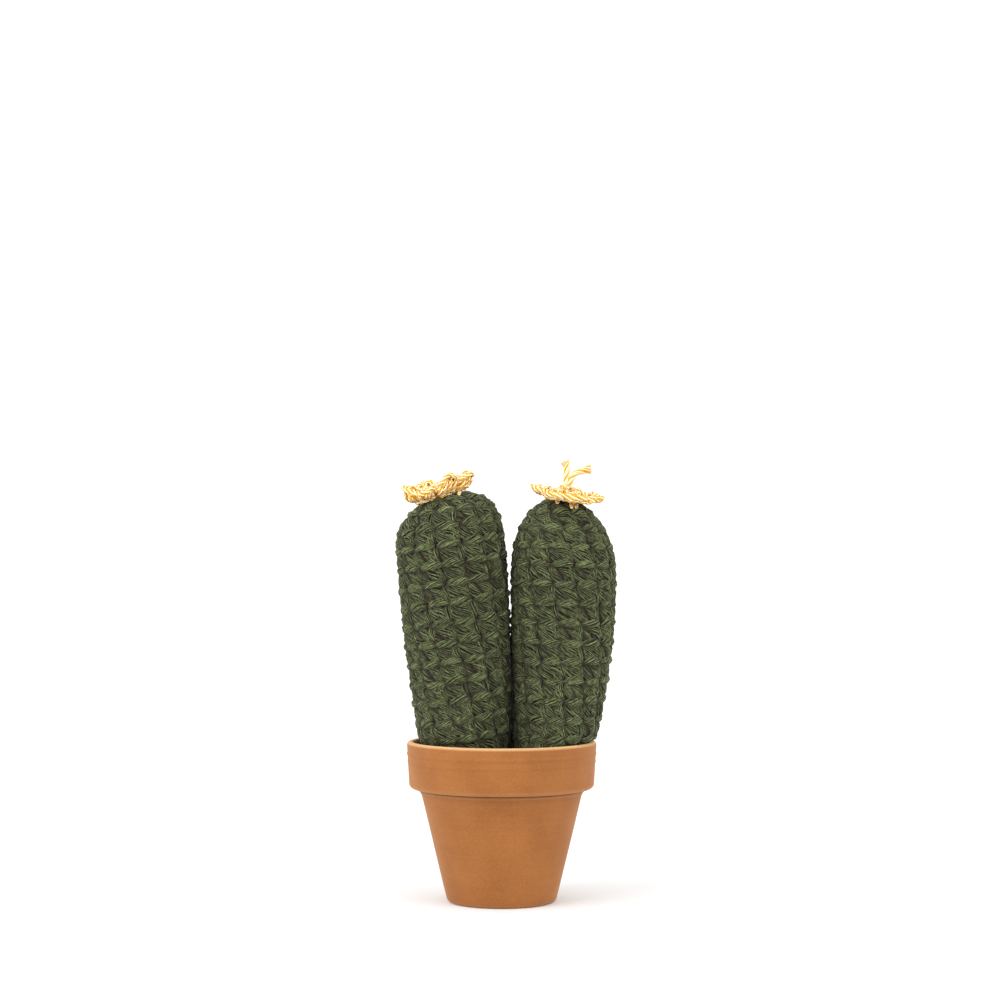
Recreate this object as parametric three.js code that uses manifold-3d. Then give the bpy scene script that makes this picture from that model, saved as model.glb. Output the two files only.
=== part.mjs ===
// A crocheted cactus in a clay pot: two stuffed stems worked in green cotton, each topped with a
// yellow crocheted flower, wedged side by side into a terracotta pot. Millimetres, +Z up, the front
// faces -Y, and the origin is the bottom centre of the whole object's box.
import * as THREE from "three";
import { mergeVertices } from "three/addons/utils/BufferGeometryUtils.js";
import Module from "manifold-3d";

const wasm = await Module();
wasm.setup();

// Driving dimensions
const GAP = 0.3; // clearance between pieces that touch
const TURN = 2 * Math.PI;

const POT = {
  axisX: -2, // the stems lean past the rim by more on the right
  height: 67,
  baseRadius: 22.85, // where the straight wall would meet the table
  wallSlope: 0.244, // radius gained per millimetre of height
  footRound: 2,
  bead: { z: 45.5, height: 1.4, out: 0.6 }, // small bead just under the rim band
  band: { z: 47.3, lowRadius: 39, topRadius: 40, round: 2.1 },
  lip: { innerRadius: 37.3, innerRound: 0.8, outerRound: 1.4 },
  floorZ: 4.5,
  floorRadius: 19.9,
  floorRound: 1.2,
  neckRadius: 30.8, // inside, where the wall steps out behind the band
  neckZ: 45,
  stepRadius: 33.4,
  stepZ: 50,
  drainRadius: 6,
  sides: 36,
};

const STITCH = {
  width: 9.6, // along the round, at the stems' widest
  height: 8.05, // from one round to the next
  slant: 0.12, // share of a stitch that each round leans to the left
  perRound: 14,
  relief: 2.5, // from the crest of a loop to the hole between loops
  barHalf: 1.9, // half thickness of the flat loop at the top of a stitch
  legHalf: 1.9, // half thickness of the two legs
  ground: 0.35, // height between the legs, as a share of the relief
  acrossSamples: 4,
  alongSamples: 3,
};

const COVER_THICKNESS = 4.6;
const CORE = { sides: 18, levels: 10, crowding: 1.7 }; // the stems' inside, with rings closer to the crown
const FOOT_Z = 40; // the stems end here, in the filling
const MOUTH_Z = 66.2; // inside the rim, which squeezes the stems
const WAIST_Z = 70; // just above the rim, where the stems swell out again
const RELIEF_START_Z = 61.3; // no loops lower down, where the filling squeezes the stems
// Where the two stems press each other flat: straight up, and leaning to the right lower down
const CONTACT = { x: 1.4, straightFromZ: 115, lean: 0.02 };

// x and radius grow from the waist to the shoulder by the square of the height still to go.
const LEFT_STEM = {
  waistRadius: 20.1,
  shoulderRadius: 23.3,
  shoulderZ: 148,
  domeHeight: 24.2,
  domePower: 2.15,
  waistX: -17.5,
  lean: -0.0775, // sideways travel per millimetre of height
  bow: 0,
  crownShift: 7,
  mouthRadius: 19.1,
  mouthDepth: 25,
  mouthX: -16.9,
  footRadius: 12.5,
  footDepth: 20,
  footX: -14.6,
  rowTilt: 0.165, // how steeply the rounds climb to the right
  firstTurn: 0.3, // where the first stitch starts, in stitches from +X
};
const RIGHT_STEM = {
  waistRadius: 18.1,
  shoulderRadius: 22.3,
  shoulderZ: 138,
  domeHeight: 32,
  domePower: 2,
  waistX: 20.4,
  lean: 0,
  bow: 3.7,
  crownShift: -2,
  mouthRadius: 16,
  mouthDepth: 26.5,
  mouthX: 18.6,
  footRadius: 11.6,
  footDepth: 20,
  footX: 12,
  rowTilt: -0.02,
  firstTurn: 0.1,
};

const FLOWER = {
  petals: 6,
  postsPerPetal: 3,
  samplesPerPost: 3,
  thickness: 3.4,
  seat: 0.45, // clearance over the stem's crown
  focus: 12, // height over the middle that the wall's thickness points to
  rope: { from: 0.8, bulge: 0.4, beyond: 1.2 }, // the edge rope: its start, its rise and its half width
  post: { to: 0.7, ridge: 0.4 }, // the stitches that spread from the middle
  notch: 0.62, // radius between two petals as a share of the petal's reach
  notchLift: 0.5, // lift between two petals as a share of theirs
  roundness: 0.75, // lower is a squarer petal
  spread: 2, // how soon a petal reaches its full radius
  cupping: 3.6, // how late it turns up on its way out
};
// x and z: the middle of the underside. slope: rise to the right. firstTurn: where the first petal
// points, in degrees from +X. lift: height of each petal's tip over the sloping plane, anticlockwise
// from the first. swing: how far each petal is turned out of its even place, in degrees.
const LEFT_FLOWER = {
  x: -28.9,
  z: 169.7,
  reach: 14.9,
  slope: 0.25,
  firstTurn: -12,
  lift: [6.8, 5, 8.6, 8, 2.2, 7.4],
  swing: [6, 0, 6, 10, 20, 0],
};
const RIGHT_FLOWER = {
  x: 26,
  z: 168.9,
  reach: 15.2,
  slope: -0.13,
  firstTurn: 0,
  lift: [2.6, 2, 2.2, 3.6, -0.6, -0.6],
  swing: [0, 0, 0, 0, 0, 0],
};
// The two cut ends of yarn, from the middle of the right flower: x, y and z of their middle lines
const TAIL = {
  radius: 1.15,
  frayRadius: 1.6,
  sides: 8,
  steps: 8,
  routes: [
    [[-0.5, 0, 0], [-0.6, 0, 4.2], [-0.5, 0.2, 8], [-0.9, 0.4, 11.6]],
    [[0.7, -0.2, 0], [1.4, -0.4, 4], [4.2, -0.8, 7.2], [9.8, -1.2, 8.4]],
  ],
};

const FILLING = { topZ: 56, crown: 1, edgeRound: 3, sides: 28 };

const COLOURS = {
  clay: 0xb9733f,
  green: 0x46592f,
  yellow: 0xf3b52c,
  fibre: 0xe9e5dc,
  filling: 0x33271f,
};

// Solids and meshes
function toSolid(geometry) {
  const bare = geometry.clone();
  bare.deleteAttribute("normal");
  bare.deleteAttribute("uv");
  const merged = mergeVertices(bare, 1e-4);
  return new wasm.Manifold(
    new wasm.Mesh({
      numProp: 3,
      vertProperties: merged.attributes.position.array,
      triVerts: new Uint32Array(merged.index.array),
    }),
  );
}

function toGeometry(solid) {
  const mesh = solid.getMesh();
  return new THREE.BufferGeometry()
    .setAttribute("position", new THREE.BufferAttribute(mesh.vertProperties, 3))
    .setIndex(new THREE.BufferAttribute(mesh.triVerts, 1));
}

// A closed skin over rings of points, each with as many points, anticlockwise seen from above and
// listed from the bottom up. The two ends close on their middle points.
function skin(rings, bottom, top) {
  const across = rings[0].length;
  const points = [...rings.flat(), bottom, top];
  const foot = points.length - 2;
  const crown = points.length - 1;
  const faces = [];
  for (let i = 0; i < across; i += 1) {
    const j = (i + 1) % across;
    faces.push(foot, j, i);
    for (let k = 0; k + 1 < rings.length; k += 1) {
      const low = k * across;
      const high = low + across;
      faces.push(low + i, low + j, high + i, low + j, high + j, high + i);
    }
    const last = (rings.length - 1) * across;
    faces.push(crown, last + i, last + j);
  }
  return new THREE.BufferGeometry().setFromPoints(points).setIndex(faces);
}

function named(name, geometry, colour, roughness) {
  geometry.computeVertexNormals();
  const finish = new THREE.MeshStandardMaterial({ color: colour, roughness, metalness: 0 });
  const mesh = new THREE.Mesh(geometry, finish);
  mesh.name = name;
  return mesh;
}

// Pot
function arcPoints(centreR, centreZ, radius, from, to, steps) {
  return Array.from({ length: steps + 1 }, (_, k) => {
    const angle = THREE.MathUtils.degToRad(from + ((to - from) * k) / steps);
    return new THREE.Vector2(centreR + radius * Math.cos(angle), centreZ + radius * Math.sin(angle));
  });
}

function revolve(profile, sides) {
  return new THREE.LatheGeometry([...profile, profile[0]], sides).rotateX(Math.PI / 2);
}

function potProfile() {
  const { bead, band, lip } = POT;
  const wallAt = (z) => POT.baseRadius + POT.wallSlope * z;
  const point = (r, z) => new THREE.Vector2(r, z);
  const beadRadius = wallAt(bead.z) + bead.out;
  return [
    point(POT.drainRadius, 0),
    ...arcPoints(POT.baseRadius - 0.8 * POT.footRound, POT.footRound, POT.footRound, -90, -12, 3),
    point(wallAt(bead.z - 0.3), bead.z - 0.3),
    point(beadRadius, bead.z + 0.3),
    point(beadRadius, bead.z + bead.height),
    ...arcPoints(band.lowRadius - band.round, band.z + band.round, band.round, -84, 0, 3),
    ...arcPoints(band.topRadius - lip.outerRound, POT.height - lip.outerRound, lip.outerRound, 0, 90, 3),
    ...arcPoints(lip.innerRadius + lip.innerRound, POT.height - lip.innerRound, lip.innerRound, 90, 180, 2),
    point(POT.stepRadius, POT.stepZ),
    point(POT.neckRadius, POT.neckZ),
    point(POT.floorRadius, POT.floorZ + POT.floorRound),
    point(POT.floorRadius - POT.floorRound, POT.floorZ),
    point(POT.drainRadius, POT.floorZ),
  ];
}

function pot() {
  const body = revolve(potProfile(), POT.sides).translate(POT.axisX, 0, 0);
  return named("pot", body, COLOURS.clay, 0.85);
}

// Stems
// Section of a stem at a height: the x of its middle, its half width along X and its half depth along
// Y, over the crests of the loops. What the rim takes off the width, the depth gains.
function stemAt(stem, z) {
  const { lerp, inverseLerp, smoothstep } = THREE.MathUtils;
  const waistDepth = 2 * stem.shoulderRadius - stem.waistRadius;
  if (z < MOUTH_Z) {
    const share = Math.pow(Math.max(0, inverseLerp(FOOT_Z, MOUTH_Z, z)), 0.85);
    return {
      x: lerp(stem.footX, stem.mouthX, share),
      width: lerp(stem.footRadius, stem.mouthRadius, share),
      depth: lerp(stem.footDepth, stem.mouthDepth, share),
    };
  }
  if (z < WAIST_Z) {
    const share = smoothstep(z, MOUTH_Z, WAIST_Z);
    return {
      x: lerp(stem.mouthX, stem.waistX, share),
      width: lerp(stem.mouthRadius, stem.waistRadius, share),
      depth: lerp(stem.mouthDepth, waistDepth, share),
    };
  }
  const toGo = Math.max(0, (stem.shoulderZ - z) / (stem.shoulderZ - WAIST_Z));
  const up = Math.min(1, Math.max(0, (z - stem.shoulderZ) / stem.domeHeight));
  const squeeze = (stem.shoulderRadius - stem.waistRadius) * toGo * toGo;
  const dome = Math.pow(1 - Math.pow(up, stem.domePower), 1 / stem.domePower);
  const bow = stem.bow * (1 - toGo * toGo);
  return {
    x: stem.waistX + stem.lean * (z - WAIST_Z) + bow + stem.crownShift * up * up,
    width: (stem.shoulderRadius - squeeze) * dome,
    depth: (stem.shoulderRadius + squeeze) * dome,
  };
}

// A point of a stem's section, at an angle and a depth below the crests. Above the rim it is never past
// the plane where the stems press each other flat.
function stemPoint(stem, z, angle, below, level = z) {
  const { x, width, depth } = stemAt(stem, z);
  const side = Math.sign(stem.waistX);
  const contactX = CONTACT.x + CONTACT.lean * Math.max(0, CONTACT.straightFromZ - z);
  const clear = z < MOUTH_Z ? -Infinity : GAP / 2 + Math.min(0, below);
  const free = side * (x + (width - below) * Math.cos(angle));
  const across = side * Math.max(free, side * contactX + clear);
  return new THREE.Vector3(across, (depth - below) * Math.sin(angle), level);
}

// Heights of equal steps along the stem's side, from a start to its crown.
function heightsAlong(stem, startZ, step) {
  const crownZ = stem.shoulderZ + stem.domeHeight;
  const fine = 4000;
  const heights = [startZ];
  let walked = 0;
  let before = { z: startZ, width: stemAt(stem, startZ).width };
  for (let k = 1; k <= fine; k += 1) {
    const z = crownZ - (crownZ - startZ) * Math.pow(1 - k / fine, 2);
    const { width } = stemAt(stem, z);
    walked += Math.hypot(z - before.z, width - before.width);
    before = { z, width };
    if (walked >= step * heights.length) heights.push(z);
  }
  return heights;
}

// Height of the loops, 0 in a hole and 1 on a crest. Across runs from one hole to the next and along
// from one round to the next. A flat loop lies on each round, and two legs leave every hole: one goes
// straight down to the hole below, and one slants down to the right.
function loopHeight(across, along) {
  const ridge = (distance, half) => Math.max(0, 1 - (distance / half) ** 2);
  const arch = (share) => Math.sqrt(Math.max(0, Math.sin(Math.PI * share)));
  const bar = ridge(Math.min(along, 1 - along) * STITCH.height, STITCH.barHalf) * arch(across);
  const upright = ridge(Math.min(across, 1 - across) * STITCH.width, STITCH.legHalf) * arch(along);
  const diagonal = (STITCH.width * STITCH.height) / Math.hypot(STITCH.width, STITCH.height);
  const slanting = ridge(Math.abs(across + along - 1) * diagonal, STITCH.legHalf) * arch(along);
  const fromHole = Math.hypot(Math.min(across, 1 - across), Math.min(along, 1 - along));
  return Math.max(bar, 0.85 * upright, 0.95 * slanting, STITCH.ground * Math.min(1, 5 * fromHole));
}

// The outside of a stem: plain rings in the pot, then rings whose points rise and fall as loops.
function stemOutside(stem) {
  const { acrossSamples, alongSamples, perRound } = STITCH;
  const across = perRound * acrossSamples;
  const angleOf = (i, rounds) => {
    const stitches = i / acrossSamples - rounds * STITCH.slant + stem.firstTurn;
    return (TURN * stitches) / perRound;
  };
  const ring = (place) => Array.from({ length: across }, (_, i) => place(i));
  const plainSteps = 2;
  const rings = Array.from({ length: plainSteps + 1 }, (_, k) => {
    const z = THREE.MathUtils.lerp(FOOT_Z, RELIEF_START_Z - STITCH.height / 2, k / plainSteps);
    return ring((i) => stemPoint(stem, z, angleOf(i, 0), GAP));
  });
  const crownZ = stem.shoulderZ + stem.domeHeight;
  const heights = heightsAlong(stem, RELIEF_START_Z, STITCH.height / alongSamples);
  heights.slice(0, -1).forEach((level, k) => {
    const rounds = k / alongSamples;
    const toCrown = (heights.length - 1 - k) / alongSamples;
    const tilt = stem.rowTilt * Math.min(1, toCrown / 3) * Math.min(1, 0.4 + rounds / 2);
    const loops = ring((i) => {
      const angle = angleOf(i, rounds);
      const lift = tilt * stemAt(stem, level).width * Math.cos(angle);
      const z = Math.min(level + lift, crownZ - 0.2);
      const flatness = Math.min(1, stemAt(stem, z).width / 12);
      const height = loopHeight((i % acrossSamples) / acrossSamples, rounds - Math.floor(rounds));
      return stemPoint(stem, z, angle, STITCH.relief * (1 - height) * flatness);
    });
    rings.push(loops);
  });
  const foot = new THREE.Vector3(stem.footX, 0, FOOT_Z);
  return skin(rings, foot, new THREE.Vector3(stemAt(stem, crownZ).x, 0, crownZ - 0.6));
}

// A smooth stem shape, inset from the loops' crests, or outset where inset is negative. Its lowest
// ring lies a drop below the foot.
function stemCore(stem, inset, topInset, drop) {
  const crownZ = stem.shoulderZ + stem.domeHeight - topInset;
  const rings = Array.from({ length: CORE.levels }, (_, k) => {
    const share = k / CORE.levels;
    const z = FOOT_Z + (crownZ - FOOT_Z) * (1 - Math.pow(1 - share, CORE.crowding));
    const level = k === 0 ? FOOT_Z - drop : z;
    return Array.from({ length: CORE.sides }, (_, i) =>
      stemPoint(stem, z + topInset * share, (TURN * i) / CORE.sides, inset, level),
    );
  });
  const foot = new THREE.Vector3(stem.footX, 0, FOOT_Z - drop);
  return skin(rings, foot, new THREE.Vector3(stemAt(stem, crownZ).x, 0, crownZ));
}

function cover(name, stem) {
  const outside = toSolid(stemOutside(stem));
  const hollow = toSolid(stemCore(stem, COVER_THICKNESS, COVER_THICKNESS, 1));
  return named(name, toGeometry(outside.subtract(hollow)), COLOURS.green, 0.95);
}

function stuffing(name, stem) {
  const inset = COVER_THICKNESS + GAP;
  return named(name, stemCore(stem, inset, inset, 0), COLOURS.fibre, 1);
}

// Filling: a plug that fills the pot's inside up to below the rim, with a hole for each stem
function filling() {
  const point = (r, z) => new THREE.Vector2(r, z);
  const along = THREE.MathUtils.mapLinear;
  const wallAt = (z) =>
    z < POT.neckZ
      ? along(z, POT.floorZ + POT.floorRound, POT.neckZ, POT.floorRadius, POT.neckRadius)
      : along(z, POT.stepZ, POT.height, POT.stepRadius, POT.lip.innerRadius);
  const bottomZ = POT.floorZ + GAP;
  const cornerZ = bottomZ + FILLING.edgeRound;
  const profile = [
    point(0, bottomZ),
    point(wallAt(bottomZ) - FILLING.edgeRound, bottomZ),
    point(wallAt(cornerZ) - GAP, cornerZ),
    point(POT.neckRadius - GAP, POT.neckZ),
    point(POT.stepRadius - GAP, POT.stepZ),
    point(wallAt(FILLING.topZ - 1) - GAP, FILLING.topZ - 1),
    point(wallAt(FILLING.topZ) - FILLING.edgeRound, FILLING.topZ),
    point(0, FILLING.topZ + FILLING.crown),
  ];
  const solid = new THREE.LatheGeometry(profile, FILLING.sides).rotateX(Math.PI / 2);
  const plug = toSolid(solid.translate(POT.axisX, 0, 0));
  const holes = [LEFT_STEM, RIGHT_STEM].map((stem) => toSolid(stemCore(stem, -2 * GAP, 0, GAP)));
  const body = holes.reduce((rest, hole) => rest.subtract(hole), plug);
  return named("pot_filling", toGeometry(body), COLOURS.filling, 1);
}

// Flowers
// Height of a stem's crown at a place seen from above, or far below where the stem isn't under it.
function crownHeight(stem, x, y) {
  const steps = 120;
  for (let k = 0; k <= steps; k += 1) {
    const z = stem.shoulderZ + stem.domeHeight * (1 - (k / steps) ** 2);
    const { x: middle, width, depth } = stemAt(stem, z);
    if (Math.hypot((x - middle) / width, y / depth) <= 1) return z;
  }
  return -Infinity;
}

// A place on a flower's underside, a share of the way from its middle to its edge.
function flowerUnderside(flower, stem, turn, share) {
  const petal = Math.round(turn * FLOWER.petals);
  const offset = turn * FLOWER.petals - petal; // from -0.5 to 0.5 across a petal
  const blended = (values) => {
    const valueOf = (k) => values[(k + FLOWER.petals) % FLOWER.petals];
    return THREE.MathUtils.lerp(valueOf(petal), valueOf(petal + Math.sign(offset)), Math.abs(offset));
  };
  const scallop = Math.pow(Math.max(0, Math.cos(Math.PI * offset)), FLOWER.roundness);
  const edge = flower.reach * (FLOWER.notch + (1 - FLOWER.notch) * scallop);
  const radius = edge * (1 - Math.pow(Math.max(0, 1 - share), FLOWER.spread));
  const lift = blended(flower.lift) * (FLOWER.notchLift + (1 - FLOWER.notchLift) * scallop);
  const angle = TURN * turn + THREE.MathUtils.degToRad(flower.firstTurn + blended(flower.swing));
  const x = flower.x + radius * Math.cos(angle);
  const y = radius * Math.sin(angle);
  const open = flower.z + flower.slope * (x - flower.x) + lift * Math.pow(share, FLOWER.cupping);
  return new THREE.Vector3(x, y, Math.max(open, crownHeight(stem, x, y) + FLOWER.seat));
}

// A flower of petals joined at the middle, with radial stitches on top and a rope round the edge.
// The wall's thickness points to a focus over the middle, so that upright petals are as thick.
function flowerGeometry(flower, stem) {
  const { petals, postsPerPetal, samplesPerPost, thickness, rope, post } = FLOWER;
  const across = petals * postsPerPetal * samplesPerPost;
  const under = (turn, share) => flowerUnderside(flower, stem, turn, share);
  const middle = under(0, 0);
  const focus = middle.clone().setZ(middle.z + FLOWER.focus);
  const raised = (place, height) => place.addScaledVector(focus.clone().sub(place).normalize(), height);
  const top = (turn, share) => {
    const ridge = Math.cos(TURN * turn * petals * postsPerPetal) * post.ridge;
    const relief = share >= rope.from ? rope.bulge : share <= post.to ? ridge : 0;
    return raised(under(turn, share), thickness + relief);
  };
  const edge = (turn) => {
    const tip = under(turn, 1);
    const outward = tip.clone().sub(under(turn, 0.95)).normalize();
    return raised(tip, thickness / 2).addScaledVector(outward, rope.beyond);
  };
  const ring = (place) => Array.from({ length: across }, (_, i) => place(i / across));
  const rings = [
    ...[0.22, 0.45, 0.65, 0.82, 0.97].map((share) => ring((turn) => under(turn, share))),
    ring(edge),
    ...[0.97, 0.82, 0.65, 0.45, 0.22].map((share) => ring((turn) => top(turn, share))),
  ];
  return skin(rings, middle, middle.clone().setZ(middle.z + thickness));
}

function flowerMesh(name, flower, stem) {
  return named(name, flowerGeometry(flower, stem), COLOURS.yellow, 0.9);
}

// The two ends of the yarn that ties the right flower on, which stand up from its middle.
function yarnEnd(points) {
  const path = new THREE.CatmullRomCurve3(points);
  const frames = path.computeFrenetFrames(TAIL.steps);
  const rings = path.getSpacedPoints(TAIL.steps).map((middle, k) => {
    const share = k / TAIL.steps;
    const flare = Math.max(0, (share - 0.7) / 0.3);
    const radius = THREE.MathUtils.lerp(TAIL.radius, TAIL.frayRadius, flare);
    return Array.from({ length: TAIL.sides }, (_, i) => {
      const angle = (TURN * i) / TAIL.sides;
      return middle
        .clone()
        .addScaledVector(frames.normals[k], radius * Math.cos(angle))
        .addScaledVector(frames.binormals[k], radius * Math.sin(angle));
    });
  });
  return toSolid(skin(rings, points[0].clone(), points.at(-1).clone()));
}

function tieYarn() {
  const middle = flowerUnderside(RIGHT_FLOWER, RIGHT_STEM, 0, 0);
  const foot = middle.z + FLOWER.thickness + GAP + 0.2;
  const along = (route) => route.map(([x, y, z]) => new THREE.Vector3(middle.x + x, y, foot + z));
  const [upright, leaning] = TAIL.routes.map((route) => yarnEnd(along(route)));
  return named("right_flower_tie_yarn", toGeometry(upright.add(leaning)), COLOURS.yellow, 0.9);
}

const cactus = new THREE.Group();
cactus.add(pot(), filling());
cactus.add(cover("left_stem_cover", LEFT_STEM), stuffing("left_stem_stuffing", LEFT_STEM));
cactus.add(cover("right_stem_cover", RIGHT_STEM), stuffing("right_stem_stuffing", RIGHT_STEM));
cactus.add(flowerMesh("left_flower", LEFT_FLOWER, LEFT_STEM));
cactus.add(flowerMesh("right_flower", RIGHT_FLOWER, RIGHT_STEM));
cactus.add(tieYarn());

export default cactus;
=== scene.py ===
"""Crocheted cactus: two stuffed cotton stems with yellow flowers, wedged into a terracotta pot.

Everything is in metres, +Z up, the front faces -Y, and the origin is the bottom centre of the
whole object's box. Each sub-assembly is a class that holds its sizes, builds its meshes as whole
arrays and dresses them.
"""

import logging
import math
from dataclasses import dataclass, field, replace
from enum import Enum
from functools import partial
from typing import Callable, Sequence

import bpy
import numpy as np
from bpy.types import Material, Mesh, NodeSocket, NodeTree, Object
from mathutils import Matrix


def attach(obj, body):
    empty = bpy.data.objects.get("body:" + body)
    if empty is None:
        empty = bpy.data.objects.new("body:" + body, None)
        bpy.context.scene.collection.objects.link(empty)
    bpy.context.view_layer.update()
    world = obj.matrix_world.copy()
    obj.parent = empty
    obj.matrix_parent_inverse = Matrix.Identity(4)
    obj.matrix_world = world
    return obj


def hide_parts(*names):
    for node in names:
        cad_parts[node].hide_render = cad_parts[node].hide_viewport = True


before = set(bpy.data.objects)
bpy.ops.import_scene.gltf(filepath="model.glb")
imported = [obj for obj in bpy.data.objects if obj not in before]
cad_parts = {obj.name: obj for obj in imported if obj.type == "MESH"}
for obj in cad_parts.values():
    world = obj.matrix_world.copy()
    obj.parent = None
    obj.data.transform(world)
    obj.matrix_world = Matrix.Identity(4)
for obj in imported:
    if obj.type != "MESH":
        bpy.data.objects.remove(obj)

log = logging.getLogger("cactus")

Array = np.ndarray
MM = 0.001
TURN = 2 * math.pi
BODY = "root"
YARN_MAP = "yarn"
# Vertex attribute for painted shade: 0 on the crests, 1 or more in the holes
PAINTED_SHADE = "painted_shade"
TONE = "tone"
# Vertex attribute: how much paler the clay is, on rounded edges and on the top of the rim as painted
# highlight
PALENESS = "paleness"
# Painted shade on the undersides of strands, which face into the work
UNDERSIDE_SHADE = 1.6  # how much deeper a strand's underside counts, in reliefs
CHART_SPREAD = 30 * MM  # the yarn coordinates of a strand start anywhere in this length
# Sockets and settings of a Mix node that mixes colours
MIX_FACTOR, MIX_A, MIX_B = 0, 6, 7
MIX_COLOURS = {"output": 2, "data_type": "RGBA"}


def colour(code: str) -> tuple[float, float, float, float]:
    """Turn an sRGB hex value into linear colour.

    Args:
        code: six hex digits.

    Returns:
        Red, green, blue and an alpha of 1.
    """
    parts = [int(code[k : k + 2], 16) / 255 for k in (0, 2, 4)]
    linear = [p / 12.92 if p <= 0.04045 else ((p + 0.055) / 1.055) ** 2.4 for p in parts]
    return (linear[0], linear[1], linear[2], 1.0)


def add_node(
    tree: NodeTree,
    kind: str,
    inputs: dict | None = None,
    output: str | int = 0,
    **settings: object,
) -> NodeSocket | None:
    """Add a node with its settings, values and links.

    Args:
        tree: the node tree that gets the node.
        kind: the node's type, without ShaderNode.
        inputs: what goes into its sockets, by name or number: a value, or a socket to link.
        output: the output that is wanted, by name or number.
        settings: the node's own properties.

    Returns:
        That output, or nothing for a node that has none.
    """
    node = tree.nodes.new(f"ShaderNode{kind}")
    for name, value in settings.items():
        setattr(node, name, value)
    for name, value in (inputs or {}).items():
        if isinstance(value, NodeSocket):
            tree.links.new(value, node.inputs[name])
        else:
            node.inputs[name].default_value = value
    return node.outputs[output] if node.outputs else None


def new_material(name: str) -> tuple[Material, Callable]:
    """Make a material with an empty node tree.

    Args:
        name: the real material's name.

    Returns:
        The material, and add_node for its tree.
    """
    material = bpy.data.materials.new(name)
    material.use_nodes = True
    material.node_tree.nodes.clear()
    return material, partial(add_node, material.node_tree)


def unit(vectors: Array) -> Array:
    """Scale vectors to length 1."""
    return vectors / np.maximum(np.linalg.norm(vectors, axis=-1, keepdims=True), 1e-12)


def mix(start: Array | float, end: Array | float, share: Array) -> Array:
    """Go a share of the way from start to end."""
    return start + (end - start) * share


# Finishes


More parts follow.
